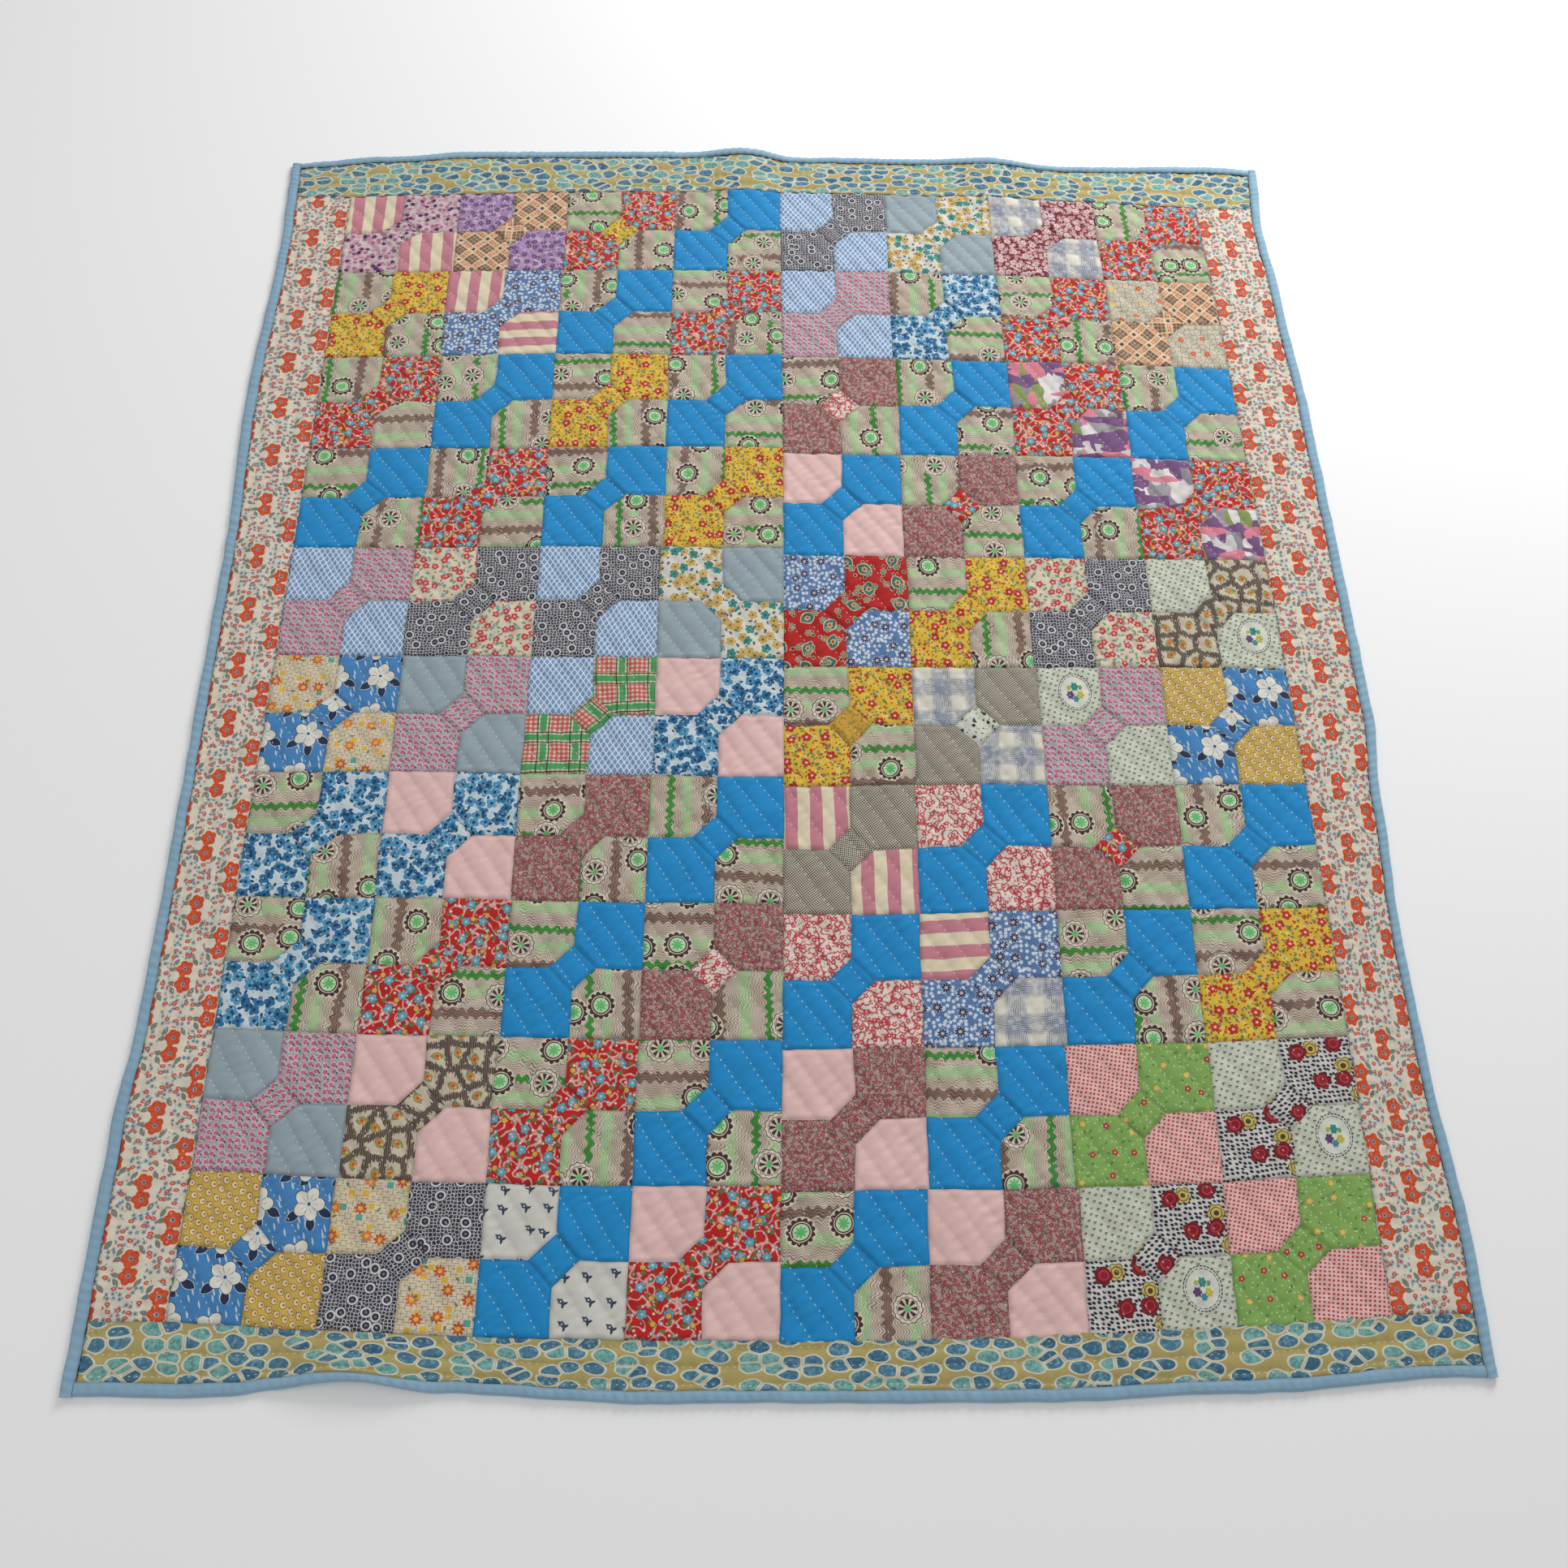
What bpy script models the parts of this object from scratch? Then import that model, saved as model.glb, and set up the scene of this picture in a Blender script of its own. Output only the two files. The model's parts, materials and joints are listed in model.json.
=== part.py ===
"""Patchwork quilt, laid flat: a pieced field, four border strips and a binding in four lengths.

Metres, +Z up. The origin is on the floor under the middle of the quilt, and +Y runs to its head end.
Every piece is a share of one net of stations, so that neighbours meet along the same wandering lines.
"""

from collections import namedtuple

import bmesh
import bpy

# The pieced field: square blocks, eight across and ten down.
BLOCK = 0.190
BLOCKS_ACROSS = 8
BLOCKS_DOWN = 10
FIELD_CENTRE_X = -0.0085
FIELD_CENTRE_Y = -0.013
FIELD_LEFT = FIELD_CENTRE_X - BLOCK * BLOCKS_ACROSS / 2
FIELD_RIGHT = FIELD_CENTRE_X + BLOCK * BLOCKS_ACROSS / 2
FIELD_FOOT = FIELD_CENTRE_Y - BLOCK * BLOCKS_DOWN / 2
FIELD_HEAD = FIELD_CENTRE_Y + BLOCK * BLOCKS_DOWN / 2

# How far the field's seams drift: its ends bow outwards, its right side too, and it leans a little.
END_BOW = 0.026
RIGHT_BOW = 0.013
LEAN = 0.007

# The whole quilt, before its edges wander.
HALF_WIDTH = 0.880
HALF_LENGTH = 1.050
BINDING_WIDTH = 0.017

QUILT_THICKNESS = 0.005
BINDING_THICKNESS = 0.0065
BINDING_ROLL = 0.0022
BINDING_ROLL_SEGMENTS = 2
PIECE_GAP = 0.0003

# Net stations to each block of the field, and to the width of a border strip.
STATIONS_PER_BLOCK = 3
BORDER_STATIONS = 2

# Where an edge of the quilt lies outside (+) or inside (-) its straight base line.
EdgePoint = namedtuple("EdgePoint", "along out")
LEFT_EDGE = (
    EdgePoint(-1.05, 0.001),
    EdgePoint(-0.70, 0.000),
    EdgePoint(-0.58, -0.008),
    EdgePoint(-0.38, -0.009),
    EdgePoint(0.15, -0.006),
    EdgePoint(0.48, 0.006),
    EdgePoint(0.80, -0.003),
    EdgePoint(1.02, 0.003),
)
RIGHT_EDGE = (
    EdgePoint(-1.03, -0.009),
    EdgePoint(-0.86, -0.006),
    EdgePoint(-0.66, -0.017),
    EdgePoint(-0.46, -0.019),
    EdgePoint(-0.26, -0.009),
    EdgePoint(-0.10, 0.006),
    EdgePoint(0.44, 0.004),
    EdgePoint(0.73, -0.005),
    EdgePoint(0.89, -0.013),
    EdgePoint(1.03, -0.003),
)
HEAD_EDGE = (
    EdgePoint(-0.88, -0.033),
    EdgePoint(-0.72, -0.012),
    EdgePoint(-0.55, 0.005),
    EdgePoint(-0.20, 0.011),
    EdgePoint(-0.07, 0.012),
    EdgePoint(0.03, 0.001),
    EdgePoint(0.36, 0.000),
    EdgePoint(0.53, -0.014),
    EdgePoint(0.80, -0.009),
    EdgePoint(0.88, -0.018),
)
FOOT_EDGE = (
    EdgePoint(-0.88, -0.002),
    EdgePoint(-0.72, 0.000),
    EdgePoint(-0.53, -0.016),
    EdgePoint(-0.42, -0.003),
    EdgePoint(-0.18, 0.010),
    EdgePoint(0.30, 0.012),
    EdgePoint(0.55, 0.004),
    EdgePoint(0.84, -0.013),
)

# Places where the quilt stands off the floor, each a low round-topped rise.
Rise = namedtuple("Rise", "x y reach_x reach_y height")
RISES = (
    Rise(x=-0.07, y=1.08, reach_x=0.09, reach_y=0.28, height=0.010),
    Rise(x=0.38, y=1.08, reach_x=0.11, reach_y=0.24, height=0.007),
    Rise(x=-0.53, y=-1.09, reach_x=0.12, reach_y=0.26, height=0.012),
)

COLOURS = {
    "pieced_cotton": (0.44, 0.30, 0.27, 1.0),
    "poppy_cotton": (0.66, 0.33, 0.25, 1.0),
    "stone_cotton": (0.16, 0.29, 0.36, 1.0),
    "binding_cotton": (0.21, 0.40, 0.56, 1.0),
}
COTTON_ROUGHNESS = 0.9


def smooth_between(points, along):
    """Outward distance of an edge at a place along it, easing from point to point."""
    if along <= points[0].along:
        return points[0].out
    for near, far in zip(points, points[1:]):
        if along <= far.along:
            share = (along - near.along) / (far.along - near.along)
            eased = share * share * (3 - 2 * share)
            return near.out + (far.out - near.out) * eased
    return points[-1].out


def field_drift(across, along):
    """Sideways and lengthways drift of a point of the field: its seams bow out towards the edges."""
    u = (across - FIELD_CENTRE_X) / (FIELD_RIGHT - FIELD_CENTRE_X)
    v = (along - FIELD_CENTRE_Y) / (FIELD_HEAD - FIELD_CENTRE_Y)
    right_bow = RIGHT_BOW * (1 + u) / 2 * (1 - v * v)
    end_bow = END_BOW * v * (2 - u * u - v * v)
    return right_bow + LEAN * v * (1 - u * u), end_bow


def share_beyond(value, low, high, half):
    """How far a coordinate is from the field's edge (0) to the quilt's edge (1)."""
    if value < low:
        return (low - value) / (low + half)
    if value > high:
        return (value - high) / (half - high)
    return 0.0


def lift(x, y):
    """Height of the quilt's underside above the floor."""
    height = 0.0
    for rise in RISES:
        nearness = 1 - ((x - rise.x) / rise.reach_x) ** 2 - ((y - rise.y) / rise.reach_y) ** 2
        if nearness > 0:
            height += rise.height * nearness**2
    return height


def lie(across, along):
    """Place on the floor plan, and underside height, of one point of the net."""
    side_edge, side = (LEFT_EDGE, -1) if across < 0 else (RIGHT_EDGE, 1)
    end_edge, end = (FOOT_EDGE, -1) if along < 0 else (HEAD_EDGE, 1)
    side_share = share_beyond(across, FIELD_LEFT, FIELD_RIGHT, HALF_WIDTH)
    end_share = share_beyond(along, FIELD_FOOT, FIELD_HEAD, HALF_LENGTH)
    inner_across = min(max(across, FIELD_LEFT), FIELD_RIGHT)
    inner_along = min(max(along, FIELD_FOOT), FIELD_HEAD)
    drift_x, drift_y = field_drift(inner_across, inner_along)
    out_x = side * smooth_between(side_edge, along)
    out_y = end * smooth_between(end_edge, across)
    x = across + drift_x + (out_x - drift_x) * side_share
    y = along + drift_y + (out_y - drift_y) * end_share
    return x, y, lift(x, y)


def evenly(start, end, steps):
    """Stations from start up to, but not including, end."""
    return [start + (end - start) * step / steps for step in range(steps)]


def net_stations(half, low, high, blocks):
    """Stations across the quilt: binding, border, blocks, border and binding."""
    inner = half - BINDING_WIDTH
    stations = [-half]
    stations += evenly(-inner, low, BORDER_STATIONS)
    stations += evenly(low, high, blocks * STATIONS_PER_BLOCK)
    stations += evenly(high, inner, BORDER_STATIONS)
    return stations + [inner, half]


def between(stations, low, high):
    """The stations from low to high, drawn in by half a gap where a neighbour joins."""
    nearly = 1e-6
    kept = [value for value in stations if low - nearly <= value <= high + nearly]
    if kept[0] > stations[0]:
        kept[0] += PIECE_GAP / 2
    if kept[-1] < stations[-1]:
        kept[-1] -= PIECE_GAP / 2
    return kept


ACROSS = net_stations(HALF_WIDTH, FIELD_LEFT, FIELD_RIGHT, BLOCKS_ACROSS)
ALONG = net_stations(HALF_LENGTH, FIELD_FOOT, FIELD_HEAD, BLOCKS_DOWN)


def cotton(name):
    """Plain cotton cloth in one colour."""
    material = bpy.data.materials.new(name)
    material.use_nodes = True
    shader = material.node_tree.nodes["Principled BSDF"]
    shader.inputs["Base Color"].default_value = COLOURS[name]
    shader.inputs["Roughness"].default_value = COTTON_ROUGHNESS
    shader.inputs["Metallic"].default_value = 0.0
    return material


def laid_sheet(across, along, thickness):
    """A closed sheet on the net between the given stations."""
    mesh = bmesh.new()
    columns = len(across) - 1
    rows = len(along) - 1
    bmesh.ops.create_grid(mesh, x_segments=columns, y_segments=rows, size=0.5)
    for vert in mesh.verts:
        column = round((vert.co.x + 0.5) * columns)
        row = round((vert.co.y + 0.5) * rows)
        vert.co = lie(across[column], along[row])
    grown = bmesh.ops.extrude_face_region(mesh, geom=mesh.faces[:])
    upper = [item for item in grown["geom"] if isinstance(item, bmesh.types.BMVert)]
    bmesh.ops.translate(mesh, verts=upper, vec=(0, 0, thickness))
    bmesh.ops.recalc_face_normals(mesh, faces=mesh.faces[:])
    return mesh


def roll_outer_edge(mesh, on_outer_edge):
    """Round a binding where it turns over the quilt's edge."""
    edges = [
        edge
        for edge in mesh.edges
        if all(on_outer_edge(vert.co) for vert in edge.verts)
        and not is_upright(edge)
    ]
    bmesh.ops.bevel(
        mesh,
        geom=edges,
        offset=BINDING_ROLL,
        segments=BINDING_ROLL_SEGMENTS,
        affect="EDGES",
        profile=0.5,
        material=-1,
    )


def is_upright(edge):
    """Whether an edge runs straight up."""
    low, high = (vert.co for vert in edge.verts)
    return (high - low).xy.length < PIECE_GAP


def add_piece(name, mesh, material):
    """Put a finished mesh into the scene as one named object."""
    data = bpy.data.meshes.new(name)
    mesh.to_mesh(data)
    mesh.free()
    data.materials.append(material)
    data.shade_smooth()
    data.set_sharp_from_angle(angle=0.6)
    bpy.context.collection.objects.link(bpy.data.objects.new(name, data))


def add_field(material):
    """The pieced field of blocks."""
    across = between(ACROSS, FIELD_LEFT, FIELD_RIGHT)
    along = between(ALONG, FIELD_FOOT, FIELD_HEAD)
    add_piece("patchwork_field", laid_sheet(across, along, QUILT_THICKNESS), material)


def add_side_borders(material):
    """The two upright border strips, which are as long as the field."""
    inner = HALF_WIDTH - BINDING_WIDTH
    along = between(ALONG, FIELD_FOOT, FIELD_HEAD)
    for side, low, high in (("left", -inner, FIELD_LEFT), ("right", FIELD_RIGHT, inner)):
        mesh = laid_sheet(between(ACROSS, low, high), along, QUILT_THICKNESS)
        add_piece(f"border_{side}", mesh, material)


def add_end_borders(material):
    """The head and foot border strips, which run from binding to binding."""
    inner = HALF_LENGTH - BINDING_WIDTH
    across = between(ACROSS, BINDING_WIDTH - HALF_WIDTH, HALF_WIDTH - BINDING_WIDTH)
    for end, low, high in (("foot", -inner, FIELD_FOOT), ("head", FIELD_HEAD, inner)):
        mesh = laid_sheet(across, between(ALONG, low, high), QUILT_THICKNESS)
        add_piece(f"border_{end}", mesh, material)


def add_side_bindings(material):
    """The side bindings, which run the quilt's whole length and cover the ends of the others."""
    inner = HALF_WIDTH - BINDING_WIDTH
    for side, low, high in (("left", -HALF_WIDTH, -inner), ("right", inner, HALF_WIDTH)):
        mesh = laid_sheet(between(ACROSS, low, high), ALONG, BINDING_THICKNESS)
        roll_outer_edge(mesh, is_outer_x)
        add_piece(f"binding_{side}", mesh, material)


def is_outer_x(place):
    """Whether a point lies on the quilt's left or right edge."""
    out = smooth_between(LEFT_EDGE if place.x < 0 else RIGHT_EDGE, place.y)
    return abs(place.x) > HALF_WIDTH + out - BINDING_WIDTH / 2


def add_end_bindings(material):
    """The head and foot bindings, between the side ones."""
    inner = HALF_LENGTH - BINDING_WIDTH
    across = between(ACROSS, BINDING_WIDTH - HALF_WIDTH, HALF_WIDTH - BINDING_WIDTH)
    for end, low, high in (("foot", -HALF_LENGTH, -inner), ("head", inner, HALF_LENGTH)):
        mesh = laid_sheet(across, between(ALONG, low, high), BINDING_THICKNESS)
        roll_outer_edge(mesh, is_outer_y)
        add_piece(f"binding_{end}", mesh, material)


def is_outer_y(place):
    """Whether a point lies on the quilt's foot or head edge."""
    out = smooth_between(FOOT_EDGE if place.y < 0 else HEAD_EDGE, place.x)
    return abs(place.y) > HALF_LENGTH + out - BINDING_WIDTH / 2


def main():
    for item in list(bpy.data.objects):
        bpy.data.objects.remove(item)
    add_field(cotton("pieced_cotton"))
    add_side_borders(cotton("poppy_cotton"))
    add_end_borders(cotton("stone_cotton"))
    binding = cotton("binding_cotton")
    add_side_bindings(binding)
    add_end_bindings(binding)


main()
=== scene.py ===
"""Looks of a hand-pieced patchwork quilt, laid flat.

Bow-tie blocks in printed cottons make up ten rows. Print borders, a folded binding and a plain back finish
the quilt. Every surface is drawn into one net of the quilt's own measures, the same one that its solids use,
so that seams, prints, quilting stitches and puckers meet from piece to piece.
"""

from __future__ import annotations

import json
import logging
import math
from dataclasses import dataclass, field
from enum import Enum

import bmesh
import bpy
import numpy as np
from mathutils import Matrix, Vector

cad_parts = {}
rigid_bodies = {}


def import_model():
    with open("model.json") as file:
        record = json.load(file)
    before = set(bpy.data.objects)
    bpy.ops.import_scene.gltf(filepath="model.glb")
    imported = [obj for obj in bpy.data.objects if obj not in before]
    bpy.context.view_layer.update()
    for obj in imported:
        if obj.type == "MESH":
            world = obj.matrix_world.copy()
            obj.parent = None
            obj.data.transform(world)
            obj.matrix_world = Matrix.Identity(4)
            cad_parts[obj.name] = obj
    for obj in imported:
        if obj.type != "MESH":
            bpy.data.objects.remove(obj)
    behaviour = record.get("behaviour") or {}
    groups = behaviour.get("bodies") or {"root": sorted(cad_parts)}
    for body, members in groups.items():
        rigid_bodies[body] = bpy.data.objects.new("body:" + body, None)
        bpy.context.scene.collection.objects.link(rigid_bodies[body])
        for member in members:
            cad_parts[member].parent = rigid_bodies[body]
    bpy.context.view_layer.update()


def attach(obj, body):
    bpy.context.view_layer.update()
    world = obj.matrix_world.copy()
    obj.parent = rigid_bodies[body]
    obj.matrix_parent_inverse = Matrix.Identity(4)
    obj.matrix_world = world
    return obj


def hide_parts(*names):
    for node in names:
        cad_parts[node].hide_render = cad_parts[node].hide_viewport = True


log = logging.getLogger("quilt")

MM = 0.001
BLOCKS_ACROSS = 8
BLOCKS_DOWN = 10
# The quilting thread on the cloth, in mm: rows, steps along a row, and the thread that shows in each step
STITCH_ROW = 27.0
STITCH_STEP = 9.0
STITCH_WIDTH = 1.0
STITCH_LENGTH = 2.6


# ---------------------------------------------------------------------------------------------------------
# The quilt's plan: where each point of the flat net lies
# ---------------------------------------------------------------------------------------------------------


def eased(points: tuple[tuple[float, float], ...], along: np.ndarray) -> np.ndarray:
    """Ease from point to point of an edge's short table.

    Args:
        points: (place along the edge, distance outside its base line), in metres.
        along: places to read.

    Returns:
        The outward distance at each place.
    """
    places = np.array([point[0] for point in points])
    outs = np.array([point[1] for point in points])
    index = np.clip(np.searchsorted(places, along) - 1, 0, len(points) - 2)
    share = np.clip((along - places[index]) / (places[index + 1] - places[index]), 0, 1)
    share = share * share * (3 - 2 * share)
    return outs[index] + (outs[index + 1] - outs[index]) * share


def ripple(x: np.ndarray, y: np.ndarray, reach: float, seed: float) -> np.ndarray:
    """Smooth uneven waves, about from -1 to 1.

    Args:
        x: places across, in metres.
        y: places along, in metres.
        reach: usual distance from crest to crest, in metres.
        seed: picks another set of waves.

    Returns:
        The waves' height at each place.
    """
    total = np.zeros_like(x)
    for turn, stretch, weight in ((0.3, 1.0, 0.34), (1.4, 1.31, 0.28), (2.3, 0.77, 0.24), (2.9, 1.9, 0.14)):
        angle = turn + seed * 1.7
        run = (x * math.cos(angle) + y * math.sin(angle)) / (reach * stretch)
        side = (y * math.cos(angle) - x * math.sin(angle)) / (reach * stretch)
        total += weight * np.sin(2 * math.pi * run + 2.1 * np.sin(math.pi * side + seed) + 5 * seed * turn)
    return total


@dataclass(frozen=True)
class Plan:
    """The quilt's flat measures, in metres, and the way it lies."""

    block: float = 0.190
    centre_x: float = -0.0085
    centre_y: float = -0.013
    half_width: float = 0.880
    half_length: float = 1.050
    binding: float = 0.017
    back_inset: float = 0.015
    end_bow: float = 0.026
    right_bow: float = 0.013
    lean: float = 0.007
    seam_wander: float = 0.0011
    left_edge: tuple = (
        (-1.05, 0.001), (-0.70, 0.000), (-0.58, -0.008), (-0.38, -0.009),
        (0.15, -0.006), (0.48, 0.006), (0.80, -0.003), (1.02, 0.003),
    )
    right_edge: tuple = (
        (-1.03, -0.009), (-0.86, -0.006), (-0.66, -0.017), (-0.46, -0.019), (-0.26, -0.009),
        (-0.10, 0.006), (0.44, 0.004), (0.73, -0.005), (0.89, -0.013), (1.03, -0.003),
    )
    head_edge: tuple = (
        (-0.88, -0.033), (-0.72, -0.012), (-0.55, 0.005), (-0.20, 0.011), (-0.07, 0.012),
        (0.03, 0.001), (0.36, 0.000), (0.53, -0.014), (0.80, -0.009), (0.88, -0.018),
    )
    foot_edge: tuple = (
        (-0.88, -0.002), (-0.72, 0.000), (-0.53, -0.016), (-0.42, -0.003),
        (-0.18, 0.010), (0.30, 0.012), (0.55, 0.004), (0.84, -0.013),
    )
    # x, y, reach across, reach along and height of each place that stands off the floor
    rises: tuple = (
        (-0.07, 1.08, 0.09, 0.28, 0.010),
        (0.38, 1.08, 0.11, 0.24, 0.007),
        (-0.53, -1.09, 0.12, 0.26, 0.012),
    )

    @property
    def left(self) -> float:
        """The field's left seam."""
        return self.centre_x - self.block * BLOCKS_ACROSS / 2

    @property
    def right(self) -> float:
        """The field's right seam."""
        return self.centre_x + self.block * BLOCKS_ACROSS / 2

    @property
    def foot(self) -> float:
        """The field's foot seam."""
        return self.centre_y - self.block * BLOCKS_DOWN / 2

    @property
    def head(self) -> float:
        """The field's head seam."""
        return self.centre_y + self.block * BLOCKS_DOWN / 2

    def lie(self, across: np.ndarray, along: np.ndarray) -> tuple[np.ndarray, np.ndarray, np.ndarray]:
        """Lay points of the flat net on the floor.

        Args:
            across: flat places across the quilt.
            along: flat places along it.

        Returns:
            x, y and the height of the quilt's underside.
        """
        inner_across = np.clip(across, self.left, self.right)
        inner_along = np.clip(along, self.foot, self.head)
        side_share = np.abs(across - inner_across) / np.where(
            across < 0, self.left + self.half_width, self.half_width - self.right
        )
        end_share = np.abs(along - inner_along) / np.where(
            along < 0, self.foot + self.half_length, self.half_length - self.head
        )
        u = (inner_across - self.centre_x) / (self.right - self.centre_x)
        v = (inner_along - self.centre_y) / (self.head - self.centre_y)
        drift_x = self.right_bow * (1 + u) / 2 * (1 - v * v) + self.lean * v * (1 - u * u)
        drift_y = self.end_bow * v * (2 - u * u - v * v)
        out_x = np.where(across < 0, -eased(self.left_edge, along), eased(self.right_edge, along))
        out_y = np.where(along < 0, -eased(self.foot_edge, across), eased(self.head_edge, across))
        x = across + drift_x + (out_x - drift_x) * side_share
        y = along + drift_y + (out_y - drift_y) * end_share
        x = x + self.seam_wander * ripple(across, along, 0.085, 1.0)
        y = y + self.seam_wander * ripple(across, along, 0.085, 2.0)
        return x, y, self.lift(x, y)

    def lift(self, x: np.ndarray, y: np.ndarray) -> np.ndarray:
        """Height of the quilt's underside above the floor."""
        height = np.zeros_like(x)
        for centre_x, centre_y, reach_x, reach_y, top in self.rises:
            near = 1 - ((x - centre_x) / reach_x) ** 2 - ((y - centre_y) / reach_y) ** 2
            height += top * np.clip(near, 0, None) ** 2
        return height


class Run(Enum):
    """Which way a piece's quilting lines run, as an angle from across."""

    DIAGONAL = math.radians(-54)
    UPRIGHT = math.radians(90)
    ACROSS = 0.0


@dataclass(frozen=True)
class Quilting:
    """Rows of small running stitches that pull the layers together."""

    run: Run
    pitch: float = 0.027
    valley: float = 0.0016
    valley_reach: float = 0.0055
    pucker: float = 0.0010
    pucker_pitch: float = 0.015
    wave: float = 0.0012

    def lines(self, x: np.ndarray, y: np.ndarray) -> tuple[np.ndarray, np.ndarray]:
        """Place each point by the quilting.

        Args:
            x: places across, in metres.
            y: places along, in metres.

        Returns:
            Distance along the line and distance across the lines, both in metres.
        """
        angle = self.run.value
        sway = 0.0022 * ripple(x, y, 0.16, 3.0)
        along = x * math.cos(angle) + y * math.sin(angle)
        across = y * math.cos(angle) - x * math.sin(angle) + sway
        return along, across

    def relief(self, x: np.ndarray, y: np.ndarray) -> np.ndarray:
        """Height of the puffs between the quilting lines, from about -2 to 2 mm."""
        along, across = self.lines(x, y)
        line = np.round(across / self.pitch)
        off = np.abs(across - line * self.pitch)
        valley = -self.valley * np.exp(-((off / self.valley_reach) ** 2))
        phase = 2.4 * ripple(x, y, 0.07, 4.0) + 2.1 * np.sin(line * 12.9898)
        gather = np.cos(2 * math.pi * along / self.pucker_pitch + phase + 60 * off)
        strength = 0.55 + 0.45 * ripple(x, y, 0.11, 5.0)
        pucker = self.pucker * strength * gather * np.exp(-((off / (0.42 * self.pitch)) ** 2))
        wave = self.wave * (0.6 * ripple(x, y, 0.043, 6.0) + 0.4 * ripple(x, y, 0.12, 7.0))
        return valley + pucker + wave


# ---------------------------------------------------------------------------------------------------------
# Drawing tools for printed cloth
# ---------------------------------------------------------------------------------------------------------


def add_node(tree: bpy.types.NodeTree, kind: str, feeds: dict, output: int | str = 0, **settings: object):
    """Add a node with its settings and links.

    Args:
        tree: the material's node tree.
        kind: the node's type, without its ShaderNode prefix.
        feeds: a value or a socket for each input, by name or number.
        output: which output to hand back.
        settings: the node's own properties.

    Returns:
        The output socket.
    """
    made = tree.nodes.new("ShaderNode" + kind)
    for name, value in settings.items():
        setattr(made, name, value)
    for key, value in feeds.items():
        if isinstance(value, bpy.types.NodeSocket):
            tree.links.new(value, made.inputs[key])
        else:
            made.inputs[key].default_value = value
    return made.outputs[output]


def linear(hex_colour: str) -> tuple[float, float, float, float]:
    """Turn an sRGB hex colour to the linear values that shaders use."""
    channels = [int(hex_colour[place : place + 2], 16) / 255 for place in (1, 3, 5)]
    turned = [c / 12.92 if c <= 0.04045 else ((c + 0.055) / 1.055) ** 2.4 for c in channels]
    return (*turned, 1.0)


class Shade:
    """A number that varies over the cloth, held as a socket of its material."""

    def __init__(self, socket: bpy.types.NodeSocket) -> None:
        """Hold a socket."""
        self.socket = socket

    def calc(self, operation: str, *others: Shade | float, clamp: bool = False) -> Shade:
        """Work out one step of arithmetic.

        Args:
            operation: the Math node's operation.
            others: the further inputs.
            clamp: whether to keep the result from 0 to 1.

        Returns:
            The result.
        """
        feeds = {0: self.socket}
        for place, other in enumerate(others, 1):
            feeds[place] = other.socket if isinstance(other, Shade) else other
        return Shade(
            add_node(self.socket.id_data, "Math", feeds, operation=operation, use_clamp=clamp)
        )

    def __add__(self, other: Shade | float) -> Shade:
        """Add."""
        return self.calc("ADD", other)

    def __sub__(self, other: Shade | float) -> Shade:
        """Take away."""
        return self.calc("SUBTRACT", other)

    def __mul__(self, other: Shade | float) -> Shade:
        """Multiply."""
        return self.calc("MULTIPLY", other)

    def __truediv__(self, other: Shade | float) -> Shade:
        """Divide."""
        return self.calc("DIVIDE", other)

    def __abs__(self) -> Shade:
        """Drop the sign."""
        return self.calc("ABSOLUTE")

    def below(self, limit: float, soft: float = 0.5) -> Shade:
        """A mask: 1 where the number is under the limit, with an edge as soft as the ink's."""
        return self.calc("MULTIPLY_ADD", -1 / soft, limit / soft + 0.5, clamp=True)

    def above(self, limit: float, soft: float = 0.5) -> Shade:
        """A mask: 1 where the number is over the limit."""
        return self.calc("MULTIPLY_ADD", 1 / soft, 0.5 - limit / soft, clamp=True)

    def from_line(self, pitch: float, start: float = 0.0) -> Shade:
        """Distance from the nearest of many parallel lines."""
        return abs(self.calc("MULTIPLY_ADD", 1, 1000 * pitch - start).calc("PINGPONG", pitch / 2))


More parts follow.
